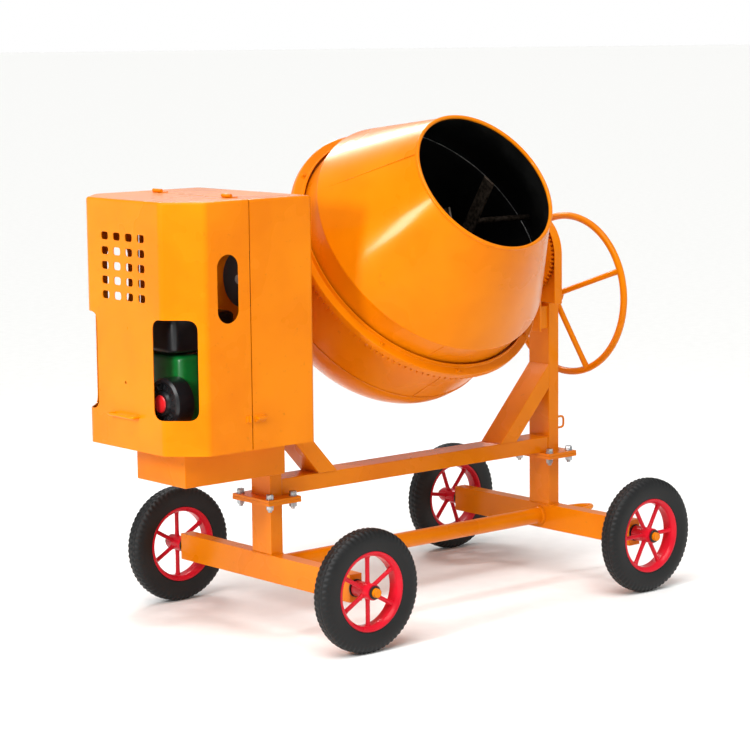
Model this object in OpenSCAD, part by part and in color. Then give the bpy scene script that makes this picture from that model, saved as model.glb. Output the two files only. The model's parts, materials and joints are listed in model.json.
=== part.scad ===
// Tilting drum concrete mixer on a four wheel trolley. Units: mm, Z up.
// X runs along the machine: engine hood at -X, tilting hand wheel at +X.
// The drum mouth faces -Y. The origin is the middle of the overall box, on the ground.

/* [Overall] */
// Distance between the two axle beams
wheelbase = 1274; // [1150:1:1400]
// Distance between the tyre centre planes on one axle
track = 1010; // [930:1:1100]
// Height of the trunnion axis above the ground
trunnion_z = 1160; // [1120:0.5:1220]
// Elevation of the drum axis above level, mouth towards -Y
drum_lift = 36.5; // [0:0.5:60]

/* [Wheels] */
// Tyre diameter
tyre_d = 400; // [340:1:440]
// Tyre section width
tyre_w = 68; // [60:1:90]
// Rim diameter over the flanges
rim_d = 252; // [200:1:280]
// Rim width over the flanges
rim_w = 54; // [46:1:60]
// Stub axle diameter
axle_d = 30; // [22:0.5:36]
// Hub tube outside diameter
hub_d = 52; // [46:1:64]
// Hub tube length
hub_len = 82; // [70:1:90]
// Number of spokes in a wheel
spokes = 6; // [4:1:8]

/* [Trolley frame] */
// Axle beam width along X
beam_w = 50; // [40:1:70]
// Axle beam height
beam_h = 90; // [70:1:110]
// Tyre centre plane to the end of the axle beam
beam_set = 51.5; // [44:0.5:75]
// Wall of the rectangular tubes
tube_t = 4; // [3:0.5:6]
// Post size along X
post_w = 48; // [40:1:60]
// Post size along Y
post_d = 102; // [80:1:120]
// Height of the lower posts above the axle beams
lower_post_h = 175; // [120:1:220]
// Flange plate size along X
flange_x = 136; // [110:1:160]
// Flange plate size along Y
flange_y = 196; // [150:1:240]
// Flange plate thickness
flange_t = 10; // [8:0.5:14]
// Long beam width along Y
long_w = 94; // [80:1:100]
// Long beam height
long_h = 54; // [40:1:70]
// Round tie tube diameter
tie_d = 56; // [40:1:70]
// Brace tube depth across its slope
brace_h = 58; // [40:1:70]
// Slope of the braces
brace_deg = 48; // [40:1:55]
// Distance from a post to the near foot of its brace
brace_foot = 160; // [100:1:200]
// Reach of the tow loop past the axle beam
tow_reach = 228; // [120:1:260]

/* [Drum] */
// Drum radius at the ring gear
drum_r = 444; // [400:1:450]
// Drum sheet thickness
drum_t = 4; // [3:0.5:6]
// Radius of the mouth
mouth_r = 262; // [220:1:300]
// Trunnion axis to the mouth plane
mouth_at = 497; // [440:1:540]
// Trunnion axis to the cone seam
cone_at = 167; // [130:1:180]
// Trunnion axis down to the bowl seam
bowl_at = 154; // [120:1:180]
// Depth of the dished bottom
dish_h = 266; // [200:1:290]
// Mouth bead diameter
bead_d = 12; // [8:1:20]
// Outer radius of the fixed gear guard
guard_r = 485; // [480:1:486]
// Drum centre from the middle of the trolley; the tilting gear takes up room on the +X side
drum_x = -20; // [-30:1:0]
// Length of a mixing arm
arm_len = 270; // [180:1:300]
// Length of a mixing blade
blade_len = 212; // [120:1:260]

/* [Drive] */
// Teeth on the drum ring gear
ring_teeth = 132; // [120:2:140]
// Teeth on the drum drive pinion
drive_teeth = 10; // [8:1:12]
// Tooth module of the drum drive
drive_module = 7; // [6:0.5:7.5]
// Drive shaft diameter
drive_d = 30; // [20:1:36]
// Belt pulley radius
pulley_r = 92; // [60:1:110]

/* [Tilting gear] */
// Teeth on the big tilting gear
tilt_teeth = 54; // [48:1:60]
// Teeth on the tilting pinion
pinion_teeth = 11; // [10:1:14]
// Tooth module of the tilting gear
tilt_module = 5; // [4:0.25:5]
// Tilting pinion shaft diameter
shaft_d = 25; // [18:1:30]
// Hand wheel radius to the tube centre line
wheel_r = 283; // [220:1:300]
// Hand wheel tube diameter
wheel_tube = 25; // [18:1:32]
// Dish of the hand wheel, hub face to rim plane
wheel_dish = 88; // [60:1:120]
// Number of hand wheel spokes
hand_spokes = 4; // [3:1:5]
// Angle of the first hand wheel spoke from level
spoke_deg = 69; // [0:1:90]

/* [Engine hood] */
// Hood length along X
hood_len = 520; // [460:1:560]
// Length of the hinged front cover
cover_len = 270; // [220:1:300]
// Hood width
hood_w = 596; // [540:1:640]
// Width of the flat end face
face_w = 396; // [340:1:440]
// Corner chamfer along X
chamfer_x = 101; // [60:1:130]
// Underside of the hood
hood_z0 = 657; // [600:1:700]
// Top of the hood
hood_z1 = 1442; // [1300:1:1500]
// Sheet thickness of the hood
sheet = 3; // [2:0.5:4]
// Engine base length
base_len = 400; // [340:1:440]
// Engine base width
base_w = 262; // [200:1:320]
// Underside of the engine base
base_z0 = 530; // [500:1:600]

/* [Hidden] */
$fn = 64;

paint = [0.95, 0.50, 0.02];
steel = [0.70, 0.71, 0.72];
rubber = [0.05, 0.05, 0.05];
red = [0.70, 0.04, 0.10];
black = [0.03, 0.03, 0.03];
green = [0.03, 0.30, 0.10];

run_gap = 0.05;          // radial clearance of a shaft turning in a bore
end_gap = 2.5;           // side clearance of a hub between its washers
seam_gap = 4;            // open seam between the cover and the hood body
knuckle_r = 6;           // hinge knuckle radius
knuckle_gap = 0.3;       // hinge knuckle above the hood top
plate_gap = 5;           // least gap between a moving and a fixed part

axle_x = wheelbase / 2;
axle_z = tyre_d / 2;
beam_top = axle_z + beam_h / 2;
deck_z = beam_top + lower_post_h + 2 * flange_t;
long_top = deck_z + long_h;
post_face = axle_x - post_w / 2;
post_back = axle_x + post_w / 2;

hood_x3 = -post_back - 7;
hood_x0 = hood_x3 - hood_len;
seam_x = hood_x0 + cover_len;
hood_x1 = hood_x0 + chamfer_x;
hinge_z = hood_z1 + knuckle_r + knuckle_gap;
handle_out = 30;
handle_bar = 10;

tow_end = axle_x + beam_w / 2 + tow_reach;
x_shift = -(tow_end + hood_x0 - handle_out) / 2;

tilt_dist = tilt_module * (tilt_teeth + pinion_teeth) / 2;
shaft_z = trunnion_z - tilt_dist;
sleeve_r = 20;
right_post_top = shaft_z - sleeve_r;
bearing_r = 45;
left_post_top = trunnion_z - bearing_r;

arm_in = guard_r + 10;
arm_t = 40;
arm_out = arm_in + arm_t;
arm_w = 80;
arm_left = drum_x - arm_out;     // outer faces of the yoke arms
arm_right = drum_x + arm_out;
gear_x = arm_right + 33;
gear_t = 14;
guard_in = gear_x - 8;
bearing_x = gear_x + gear_t + 6;
bearing_t = 8;
tilt_tip = tilt_module * (tilt_teeth / 2 + 1);
arch_r = tilt_tip + 15;
strip_t = 4;
trunnion_d = 60;
right_trunnion_d = 40;

ring_pitch = drive_module * ring_teeth / 2;
pinion_pitch = drive_module * drive_teeth / 2;
ring_tip = pinion_pitch - drive_module;
ring_root = pinion_pitch + 1.25 * drive_module;
ring_in = drum_r;
ring_out = guard_r - 9;
ring_rib = ring_out - 28;        // inner end of the ring gear teeth
skirt_at = 36;
skirt_h = 38;
lip_h = 15;

yoke_drop = bowl_at + dish_h + 116;
yoke_knee = bowl_at + 186;
spindle_r = 25;

wheel_y = track / 2;
beam_len = track - 2 * beam_set;
axle_face = beam_len / 2;
washer_t = 5;
hub_y0 = axle_face + washer_t + end_gap;
hub_y1 = hub_y0 + hub_len;
stub_out = hub_y1 + end_gap + washer_t + 11.5;
spoke_y = (hub_y0 + hub_y1) / 2 + 9;

hand_x = post_back + 7;
hand_hub = 44;

// Rectangular tube, centred on the X and Y axes, running up from z = 0
module box_tube(x, y, len, wall) {
    difference() {
        translate([-x / 2, -y / 2, 0]) cube([x, y, len]);
        translate([-x / 2 + wall, -y / 2 + wall, -1]) cube([x - 2 * wall, y - 2 * wall, len + 2]);
    }
}

// Cylinder between two heights on the X axis
module x_rod(r, x0, x1) {
    translate([x0, 0, 0]) rotate([0, 90, 0]) cylinder(r = r, h = x1 - x0);
}

// Cylinder between two distances on the Y axis
module y_rod(r, y0, y1) {
    translate([0, y0, 0]) rotate([-90, 0, 0]) cylinder(r = r, h = y1 - y0);
}

// Round bar from point a to point b
module bar(a, b, r) {
    v = b - a;
    len = norm(v);
    translate(a) rotate([0, acos(v[2] / len), atan2(v[1], v[0])]) cylinder(r = r, h = len);
}

// Outline of a gear with straight sided teeth; half widths at the root and the tip
function gear_outline(n, r0, r1, w0, w1) = [for (i = [0:n - 1], k = [0:3])
    let (a = i * 360 / n, r = (k == 0 || k == 3) ? r0 : r1, w = (k == 0) ? -w0 : (k == 1) ? -w1 : (k == 2) ? w1 : w0)
    [r * cos(a) - w * sin(a), r * sin(a) + w * cos(a)]];

// Rectangle with round corners, centred
module round_rect(x, y, r) {
    square([x - 2 * r, y], center = true);
    square([x, y - 2 * r], center = true);
    for (i = [-1, 1], j = [-1, 1]) translate([i * (x / 2 - r), j * (y / 2 - r)]) circle(r = r);
}

// Everything that turns with the drum axis: local Z points out of the mouth
module drum_frame() {
    translate([drum_x, 0, trunnion_z]) rotate([90 - drum_lift, 0, 0]) children();
}

// Machine middle moved so that the overall box is centred on the origin
module placed() {
    translate([x_shift, 0, 0]) children();
}

module axle_beam(x) {
    placed() translate([x, 0, 0]) color(paint) {
        difference() {
            translate([-beam_w / 2, -beam_len / 2, axle_z - beam_h / 2]) cube([beam_w, beam_len, beam_h]);
            translate([-beam_w / 2 + tube_t, -beam_len / 2 + 2 * tube_t, axle_z - beam_h / 2 + tube_t])
                cube([beam_w - 2 * tube_t, beam_len - 4 * tube_t, beam_h - 2 * tube_t]);
        }
        translate([0, 0, beam_top]) box_tube(post_w, post_d, lower_post_h, tube_t);
        translate([-flange_x / 2, -flange_y / 2, beam_top + lower_post_h]) cube([flange_x, flange_y, flange_t]);
    }
}
module left_axle_beam() { axle_beam(-axle_x); }
module right_axle_beam() { axle_beam(axle_x); }

module stub_axles() {
    placed() color(black) for (x = [-axle_x, axle_x], s = [-1, 1])
        translate([x, 0, axle_z]) scale([1, s, 1]) {
            y_rod(hub_d / 2 + 3, axle_face, axle_face + washer_t);
            y_rod(axle_d / 2, axle_face, stub_out);
            y_rod(hub_d / 2 - 4, hub_y1 + end_gap, hub_y1 + end_gap + washer_t);
        }
}

module tie_tube() {
    placed() translate([0, 0, axle_z]) color(paint) {
        x0 = -axle_x + beam_w / 2;
        difference() {
            union() {
                x_rod(tie_d / 2, x0, -x0);
                x_rod(tie_d / 2 + 5, x0, x0 + 8);
                x_rod(tie_d / 2 + 5, -x0 - 8, -x0);
            }
            x_rod(tie_d / 2 - tube_t, x0 - 1, -x0 + 1);
        }
    }
}

module long_beam() {
    placed() translate([-post_face, 0, deck_z + long_h / 2]) rotate([0, 90, 0]) color(paint)
        box_tube(long_h, long_w, 2 * post_face, tube_t);
}

module upper_post(x, top) {
    placed() translate([x, 0, 0]) color(paint) {
        translate([-flange_x / 2, -flange_y / 2, deck_z - flange_t]) cube([flange_x, flange_y, flange_t]);
        translate([0, 0, deck_z]) box_tube(post_w, post_d, top - deck_z, tube_t);
        translate([-post_w / 2, -post_d / 2, top - tube_t]) cube([post_w, post_d, tube_t]);
    }
}
module left_post() { upper_post(-axle_x, left_post_top); }
module right_post() {
    upper_post(axle_x, right_post_top);
    // spacer block and two gussets that carry the bearing plate
    placed() color(paint) {
        translate([bearing_x + bearing_t, -post_d / 2 + 8, right_post_top - 90])
            cube([post_face - bearing_x - bearing_t, post_d - 16, 80]);
    }
}

module frame_braces() {
    run = brace_foot + brace_h / sin(brace_deg);
    rise = tan(brace_deg);
    lift = brace_h / cos(brace_deg);
    wall_x = tube_t / sin(brace_deg);
    wall_z = tube_t / cos(brace_deg);
    placed() color(paint) for (s = [-1, 1]) scale([s, 1, 1])
        translate([post_face, post_d / 2, long_top]) rotate([90, 0, 0]) difference() {
            linear_extrude(height = post_d)
                polygon([[-brace_foot, 0], [0, brace_foot * rise], [0, run * rise], [-run, 0]]);
            translate([0, 0, tube_t]) linear_extrude(height = post_d - 2 * tube_t)
                polygon([[-brace_foot - wall_x - 2, -2 * rise], [2, (brace_foot + wall_x + 2) * rise],
                    [2, (run - wall_x + 2) * rise], [-run + wall_x - 2, -2 * rise]]);
        }
}

module tow_loop() {
    bar_r = 8;
    foot = 62;
    nose = 18;
    x0 = axle_x + beam_w / 2;
    apex = tow_end - bar_r;
    foot_back = bar_r * (foot - nose) / (apex - x0);   // keeps the slanted foot out of the beam
    placed() translate([0, 0, axle_z]) color(paint) {
        for (s = [-1, 1]) bar([x0 + foot_back, s * foot, 0], [apex, s * nose, 0], bar_r - 0.5);
        translate([apex, 0, 0]) y_rod(bar_r, -nose - bar_r, nose + bar_r);
    }
}

module post_eye() {
    eye_r = 4;
    out = 36;
    placed() translate([post_back, -post_d / 2 + 12, deck_z + 80]) color(paint) {
        x_rod(eye_r, 0, out);
        translate([0, 0, 40]) x_rod(eye_r, 0, out);
        translate([out, 0, 0]) cylinder(r = eye_r, h = 40);
        translate([out, 0, 0]) sphere(r = eye_r);
        translate([out, 0, 40]) sphere(r = eye_r);
    }
}

module engine_base() {
    placed() color(paint) {
        difference() {
            translate([-post_back - base_len, -base_w / 2, base_z0]) cube([base_len, base_w, hood_z0 - base_z0]);
            translate([-post_back - base_len + tube_t, -base_w / 2 + tube_t, base_z0 + tube_t])
                cube([base_len - 2 * tube_t, base_w - 2 * tube_t, hood_z0 - base_z0]);
        }
        // floor under the engine, inside the hood skirt
        translate([hood_x0 + chamfer_x, -hood_w / 2 + sheet + plate_gap, hood_z0])
            cube([hood_len - chamfer_x - sheet, hood_w - 2 * (sheet + plate_gap), tube_t]);
        translate([hood_x0 + sheet + plate_gap + 4, -face_w / 2 + 10, hood_z0])
            cube([chamfer_x, face_w - 20, tube_t]);
    }
}

module engine_block() {
    placed() color(green) translate([hood_x0 + 78, -150, hood_z0 + tube_t]) cube([310, 300, 430]);
}

// Plan of the hood, grown inwards by t; closed at x_end
function hood_plan(t, x_end) = let (
    cx = chamfer_x, cy = (hood_w - face_w) / 2, cl = norm([cx, cy]),
    u = (t - t * cy / cl) / cx, yc = face_w / 2 + u * cy - t * cx / cl,
    v = (cy - t + t * cx / cl) / cy, xc = hood_x0 + v * cx + t * cy / cl)
    [[hood_x0 + t, -yc], [xc, -hood_w / 2 + t], [x_end, -hood_w / 2 + t],
     [x_end, hood_w / 2 - t], [xc, hood_w / 2 - t], [hood_x0 + t, yc]];

module hood_cover() {
    vent_px = 65;
    vent_pz = 46.5;
    vent_z = hood_z1 - 117;
    win_h = 312;
    win_z = hood_z0 + 111;
    edge = seam_x - seam_gap / 2;
    turn = atan2((hood_w - face_w) / 2, chamfer_x) / 2;
    placed() color(paint) difference() {
        translate([0, 0, hood_z0]) linear_extrude(height = hood_z1 - hood_z0) polygon(hood_plan(0, edge));
        translate([0, 0, hood_z0 - 1]) linear_extrude(height = hood_z1 - hood_z0 - sheet + 1)
            polygon(hood_plan(sheet, edge + 1));
        for (i = [-1.5:1:1.5], k = [0:4]) translate([hood_x0 - 5, i * vent_px, vent_z - k * vent_pz])
            rotate([90, 0, 90]) linear_extrude(height = 15) round_rect(38, 25, 9);
        for (s = [-1, 1]) scale([1, s, 1]) {
            // window that wraps from the end face on to the chamfer
            translate([hood_x0, -face_w / 2, win_z + win_h / 2]) rotate([0, 0, turn]) translate([-60, -30, 0])
                rotate([90, 0, 90]) linear_extrude(height = 120) round_rect(147, win_h, 25);
            // upright oval opening in the side
            translate([hood_x1 + 83, -hood_w / 2 - 5, hood_z1 - 272]) rotate([-90, 0, 0])
                linear_extrude(height = 15) round_rect(83, 214, 41.4);
        }
        translate([hood_x0 - 5, 0, hood_z0 + 211]) x_rod(5, 0, 15);
    }
}

module cover_handle() {
    half = 66;
    z = hood_z0 + 108;
    r = handle_bar / 2;
    placed() color(paint) translate([hood_x0, 0, z]) {
        for (s = [-1, 1]) translate([0, s * half, 0]) {
            x_rod(r, -handle_out + r, 0);
            translate([-handle_out + r, 0, 0]) sphere(r = r);
        }
        translate([-handle_out + r, 0, 0]) y_rod(r, -half, half);
    }
}

module hood_body() {
    edge = seam_x + seam_gap / 2;
    placed() color(paint) difference() {
        translate([edge, -hood_w / 2, hood_z0]) cube([hood_x3 - edge, hood_w, hood_z1 - hood_z0]);
        translate([edge - 1, -hood_w / 2 + sheet, hood_z0 - 1])
            cube([hood_x3 - edge + 1 - sheet, hood_w - 2 * sheet, hood_z1 - hood_z0 - sheet + 1]);
        translate([0, 0, trunnion_z]) x_rod(trunnion_d / 2 + 8, hood_x3 - 10, hood_x3 + 10);
    }
}

module hood_hinges() {
    placed() color(paint) for (y = [-185, 185]) translate([seam_x, y, hinge_z]) {
        y_rod(knuckle_r, -22, 22);
        translate([0, -22, -knuckle_r - knuckle_gap]) cube([26, 44, 3]);
    }
}

module left_bearing() {
    placed() color(paint) difference() {
        union() {
            translate([-post_back, -post_d / 2, left_post_top]) cube([post_w, post_d, 12]);
            translate([0, 0, trunnion_z]) x_rod(bearing_r, -post_back, -post_face);
        }
        translate([0, 0, trunnion_z]) x_rod(trunnion_d / 2 + run_gap, -post_back - 1, -post_face + 1);
    }
}

module right_bearing_plate() {
    placed() color(paint) difference() {
        union() {
            translate([bearing_x, -arch_r, right_post_top + 10])
                cube([bearing_t, 2 * arch_r, trunnion_z - right_post_top - 10]);
            translate([bearing_x, -post_d / 2, right_post_top - 100]) cube([bearing_t, post_d, 112]);
            translate([0, 0, trunnion_z]) x_rod(arch_r, bearing_x, bearing_x + bearing_t);
            translate([0, 0, trunnion_z]) x_rod(34, bearing_x, post_back - 10);
        }
        translate([0, 0, trunnion_z]) x_rod(right_trunnion_d / 2 + run_gap, bearing_x - 1, post_back);
        translate([0, 0, shaft_z]) x_rod(shaft_d / 2 + plate_gap, bearing_x - 1, bearing_x + bearing_t + 1);
    }
}

module tilt_gear_guard() {
    placed() color(paint) difference() {
        union() {
            translate([guard_in, -arch_r, right_post_top + 10])
                cube([bearing_x - guard_in, 2 * arch_r, trunnion_z - right_post_top - 10]);
            translate([0, 0, trunnion_z]) x_rod(arch_r, guard_in, bearing_x);
        }
        translate([guard_in - 1, -arch_r + strip_t, right_post_top])
            cube([bearing_x - guard_in + 2, 2 * (arch_r - strip_t), trunnion_z - right_post_top]);
        translate([0, 0, trunnion_z]) x_rod(arch_r - strip_t, guard_in - 1, bearing_x + 1);
    }
}

module shaft_sleeve() {
    placed() color(paint) translate([0, 0, shaft_z]) difference() {
        x_rod(sleeve_r, bearing_x + bearing_t, post_back);
        x_rod(shaft_d / 2 + run_gap, bearing_x, post_back + 1);
    }
}

module yoke() {
    inner = (arm_in - 182);
    outer = (arm_out - 205);
    placed() drum_frame() color(paint) difference() {
        translate([0, arm_w / 2, 0]) rotate([90, 0, 0]) linear_extrude(height = arm_w)
            polygon([[-arm_out, 70], [-arm_out, -yoke_knee], [-outer, -yoke_drop], [outer, -yoke_drop],
                [arm_out, -yoke_knee], [arm_out, 70], [arm_in, 70], [arm_in, -yoke_knee + 17],
                [inner, -yoke_drop + arm_t], [-inner, -yoke_drop + arm_t], [-arm_in, -yoke_knee + 17],
                [-arm_in, 70]]);
        x_rod(drive_d / 2 + run_gap, -arm_out - 1, -arm_in + 1);
    }
}

module left_trunnion() {
    placed() translate([0, 0, trunnion_z]) color(steel) difference() {
        x_rod(trunnion_d / 2, -post_back, arm_left);
        x_rod(drive_d / 2 + run_gap, -post_back - 1, arm_left + 1);
    }
}

module right_trunnion() {
    placed() translate([0, 0, trunnion_z]) color(steel) x_rod(right_trunnion_d / 2, arm_right, post_back - 6);
}

module tilt_gear() {
    placed() translate([0, 0, trunnion_z]) color(paint) difference() {
        union() {
            translate([gear_x, 0, 0]) rotate([0, 90, 0]) linear_extrude(height = gear_t)
                polygon(gear_outline(tilt_teeth, tilt_module * (tilt_teeth / 2 - 1.25), tilt_tip, 4.2, 1.6));
            x_rod(50, arm_right, gear_x);
        }
        x_rod(right_trunnion_d / 2, arm_right - 1, gear_x + gear_t + 1);
    }
}

module gear_guard_ring() {
    placed() drum_frame() color(paint) {
        rotate_extrude($fn = 128) polygon([
            [guard_r - 4, skirt_at], [guard_r, skirt_at], [guard_r, skirt_at + skirt_h],
            [drum_r + 12, skirt_at + skirt_h], [drum_r + 12, skirt_at + skirt_h + lip_h],
            [drum_r + 8, skirt_at + skirt_h + lip_h], [drum_r + 8, skirt_at + skirt_h - 4],
            [guard_r - 4, skirt_at + skirt_h - 4]]);
        for (s = [-1, 1]) scale([s, 1, 1]) difference() {
            translate([guard_r - 5, -28, skirt_at + 8]) cube([arm_in - guard_r + 5, 56, skirt_h - 12]);
            translate([0, 0, skirt_at]) cylinder(r = guard_r - 2, h = skirt_h, $fn = 128);
        }
    }
}

module drum_spindle() {
    placed() drum_frame() color(steel) translate([0, 0, -yoke_drop + arm_t]) {
        cylinder(r = spindle_r + 12, h = 8);
        cylinder(r = spindle_r, h = 70);
    }
}

// Half section of the drum wall below the seam, r against height
function dish(r, h, n) = [for (i = [0:n]) [r * cos(i * 90 / n), -bowl_at - h * sin(i * 90 / n)]];

module drum_bowl() {
    n = 10;
    placed() drum_frame() color(paint) rotate_extrude($fn = 128)
        polygon(concat([[drum_r - drum_t, ring_root + 12], [drum_r, ring_root + 12]], dish(drum_r - 7, dish_h, n),
            [for (i = [n:-1:0]) [max(0, (drum_r - 7 - drum_t) * cos(i * 90 / n)), -bowl_at - (dish_h - drum_t) * sin(i * 90 / n)]]));
}

module drum_cone() {
    t = drum_t;
    placed() drum_frame() color(paint) rotate_extrude($fn = 128)
        polygon([[drum_r, ring_root + 12], [drum_r, cone_at], [mouth_r, mouth_at - bead_d / 2],
            [mouth_r - t, mouth_at - bead_d / 2], [drum_r - t, cone_at - 2], [drum_r - t, ring_root + 12]]);
}

module mouth_bead() {
    placed() drum_frame() color(paint) translate([0, 0, mouth_at])
        rotate_extrude($fn = 128) translate([mouth_r - drum_t / 2, 0]) circle(r = bead_d / 2, $fn = 32);
}

module ring_gear() {
    half = 4.0;
    placed() drum_frame() color(paint) difference() {
        union() {
            translate([0, 0, ring_tip]) linear_extrude(height = ring_root - ring_tip)
                polygon(gear_outline(ring_teeth, ring_rib, ring_out, half, half));
            translate([0, 0, ring_root]) cylinder(r = ring_out, h = 10, $fn = 128);
        }
        translate([0, 0, ring_tip - 1]) cylinder(r = ring_in, h = ring_root, $fn = 128);
    }
}

module drum_hub() {
    floor_t = -bowl_at - dish_h;
    placed() drum_frame() color(paint) difference() {
        translate([0, 0, floor_t - 40]) cylinder(r = 62, h = 44);
        translate([0, 0, floor_t - 41]) cylinder(r = spindle_r + run_gap, h = 40);
        // seat that follows the dished bottom
        rotate_extrude($fn = 128) polygon(concat([[0, 0]], dish(drum_r - 7, dish_h, 10)));
    }
}

module mixing_paddles() {
    arm_r = 10;
    arm_at = 250;
    blade_w = 50;
    blade_t = 8;
    tilt = 21;
    wall_r = drum_r - drum_t - (drum_r - mouth_r) * (arm_at - cone_at) / (mouth_at - cone_at);
    placed() drum_frame() color(black) for (a = [0, 180]) rotate([0, 0, a]) {
        bar([wall_r - arm_len, 0, arm_at], [wall_r - 8, 0, arm_at], arm_r);
        translate([wall_r - arm_len, 0, arm_at]) rotate([-tilt, 0, 0])
            translate([-blade_t, -blade_w / 2, -blade_len / 5]) cube([blade_t, blade_w, blade_len]);
    }
}

module drive_shaft() {
    placed() translate([0, 0, trunnion_z]) color(steel)
        x_rod(drive_d / 2, hood_x3 - sheet - 70, drum_x - ring_rib - 4);
}

module drive_pinion() {
    x0 = -ring_out + 2;
    x1 = -ring_rib - 4;
    placed() drum_frame() color(steel) difference() {
        translate([x0, 0, 0]) rotate([0, 90, 0]) rotate([0, 0, 180 / drive_teeth]) linear_extrude(height = x1 - x0)
            polygon(gear_outline(drive_teeth, pinion_pitch - 1.25 * drive_module, pinion_pitch + drive_module, 4.4, 2.4));
        x_rod(drive_d / 2, x0 - 1, x1 + 1);
    }
}

module belt_pulley() {
    x0 = hood_x3 - sheet - 60;
    placed() translate([0, 0, trunnion_z]) color(black) difference() {
        union() {
            x_rod(pulley_r, x0, x0 + 6);
            x_rod(pulley_r - 12, x0, x0 + 34);
            x_rod(pulley_r, x0 + 28, x0 + 34);
        }
        x_rod(drive_d / 2, x0 - 1, x0 + 40);
    }
}

module hand_wheel() {
    rim_x = hand_x + wheel_dish;
    placed() translate([0, 0, shaft_z]) color(paint) {
        translate([rim_x, 0, 0]) rotate([0, 90, 0]) rotate_extrude($fn = 96)
            translate([wheel_r, 0]) circle(r = wheel_tube / 2, $fn = 32);
        difference() {
            union() {
                x_rod(28, hand_x, hand_x + hand_hub);
                for (i = [0:hand_spokes - 1], a = spoke_deg + i * 360 / hand_spokes) bar([hand_x + 24, 20 * cos(a), 20 * sin(a)],
                    [rim_x, wheel_r * cos(a), wheel_r * sin(a)], wheel_tube / 2 - 2);
            }
            x_rod(shaft_d / 2, hand_x - 20, hand_x + hand_hub + 1);
        }
    }
}

module tilt_pinion() {
    placed() translate([0, 0, shaft_z]) color(steel) {
        x_rod(shaft_d / 2, gear_x - 4, hand_x + hand_hub);
        translate([gear_x - 1, 0, 0]) rotate([0, 90, 0]) rotate([0, 0, pinion_teeth % 2 == 0 ? 180 / pinion_teeth : 0])
            linear_extrude(height = gear_t + 2) polygon(gear_outline(pinion_teeth,
                tilt_module * (pinion_teeth / 2 - 1.25), tilt_module * (pinion_teeth / 2 + 1), 4.2, 1.6));
    }
}

module tyre(sx, sy) {
    rim_r = rim_d / 2;
    seat = rim_r - 12;
    placed() translate([sx * axle_x, sy * wheel_y, axle_z]) rotate([90, 0, 0]) color(rubber) rotate_extrude($fn = 96)
        polygon([[seat, -rim_w / 2 + 4], [rim_r + 1, -rim_w / 2 + 4], [rim_r + 6, -rim_w / 2 - 3],
            [tyre_d / 2 - 34, -tyre_w / 2], [tyre_d / 2 - 12, -tyre_w / 2 + 3], [tyre_d / 2 - 3, -tyre_w / 2 + 12],
            [tyre_d / 2, -tyre_w / 2 + 22], [tyre_d / 2, tyre_w / 2 - 22], [tyre_d / 2 - 3, tyre_w / 2 - 12],
            [tyre_d / 2 - 12, tyre_w / 2 - 3], [tyre_d / 2 - 34, tyre_w / 2], [rim_r + 6, rim_w / 2 + 3],
            [rim_r + 1, rim_w / 2 - 4], [seat, rim_w / 2 - 4]]);
}

module wheel(sx, sy, turn) {
    rim_r = rim_d / 2;
    seat = rim_r - 12;
    placed() translate([sx * axle_x, 0, axle_z]) scale([1, sy, 1]) color(red) {
        translate([0, wheel_y, 0]) rotate([90, 0, 0]) rotate_extrude($fn = 96)
            polygon([[seat - 4, -rim_w / 2], [rim_r, -rim_w / 2], [rim_r, -rim_w / 2 + 4], [seat, -rim_w / 2 + 4],
                [seat, rim_w / 2 - 4], [rim_r, rim_w / 2 - 4], [rim_r, rim_w / 2], [seat - 4, rim_w / 2]]);
        difference() {
            union() {
                y_rod(hub_d / 2, hub_y0, hub_y1);
                for (i = [0:spokes - 1]) translate([0, spoke_y, 0]) rotate([0, i * 360 / spokes + turn, 0])
                    x_rod(7, axle_d / 2 + 4, seat - 2);
            }
            y_rod(axle_d / 2 + run_gap, hub_y0 - 1, hub_y1 + 1);
        }
    }
}

module tyre_left_front() { tyre(-1, -1); }
module tyre_left_back() { tyre(-1, 1); }
module tyre_right_front() { tyre(1, -1); }
module tyre_right_back() { tyre(1, 1); }
module wheel_left_front() { wheel(-1, -1, 30); }
module wheel_left_back() { wheel(-1, 1, 30); }
module wheel_right_front() { wheel(1, -1, 0); }
module wheel_right_back() { wheel(1, 1, 10); }

left_axle_beam();
right_axle_beam();
stub_axles();
tie_tube();
long_beam();
left_post();
right_post();
frame_braces();
tow_loop();
post_eye();
engine_base();
engine_block();
hood_body();
hood_hinges();
hood_cover();
cover_handle();
left_bearing();
right_bearing_plate();
tilt_gear_guard();
shaft_sleeve();
yoke();
left_trunnion();
right_trunnion();
tilt_gear();
gear_guard_ring();
drum_spindle();
drum_bowl();
drum_cone();
mouth_bead();
ring_gear();
drum_hub();
mixing_paddles();
drive_shaft();
drive_pinion();
belt_pulley();
hand_wheel();
tilt_pinion();
tyre_left_front();
tyre_left_back();
tyre_right_front();
tyre_right_back();
wheel_left_front();
wheel_left_back();
wheel_right_front();
wheel_right_back();
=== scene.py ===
"""Looks of a tilting drum concrete mixer on a four wheeled trolley.

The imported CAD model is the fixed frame. X runs along the machine from the engine hood to the hand wheel,
the drum's mouth is on the -Y side and Z is up from the ground. All lengths are in metres.
"""

import json
import logging
from abc import ABC, abstractmethod
from dataclasses import dataclass, field
from enum import Enum
from typing import Any, Sequence

import bmesh
import bpy
import numpy as np
from mathutils import Matrix

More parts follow.
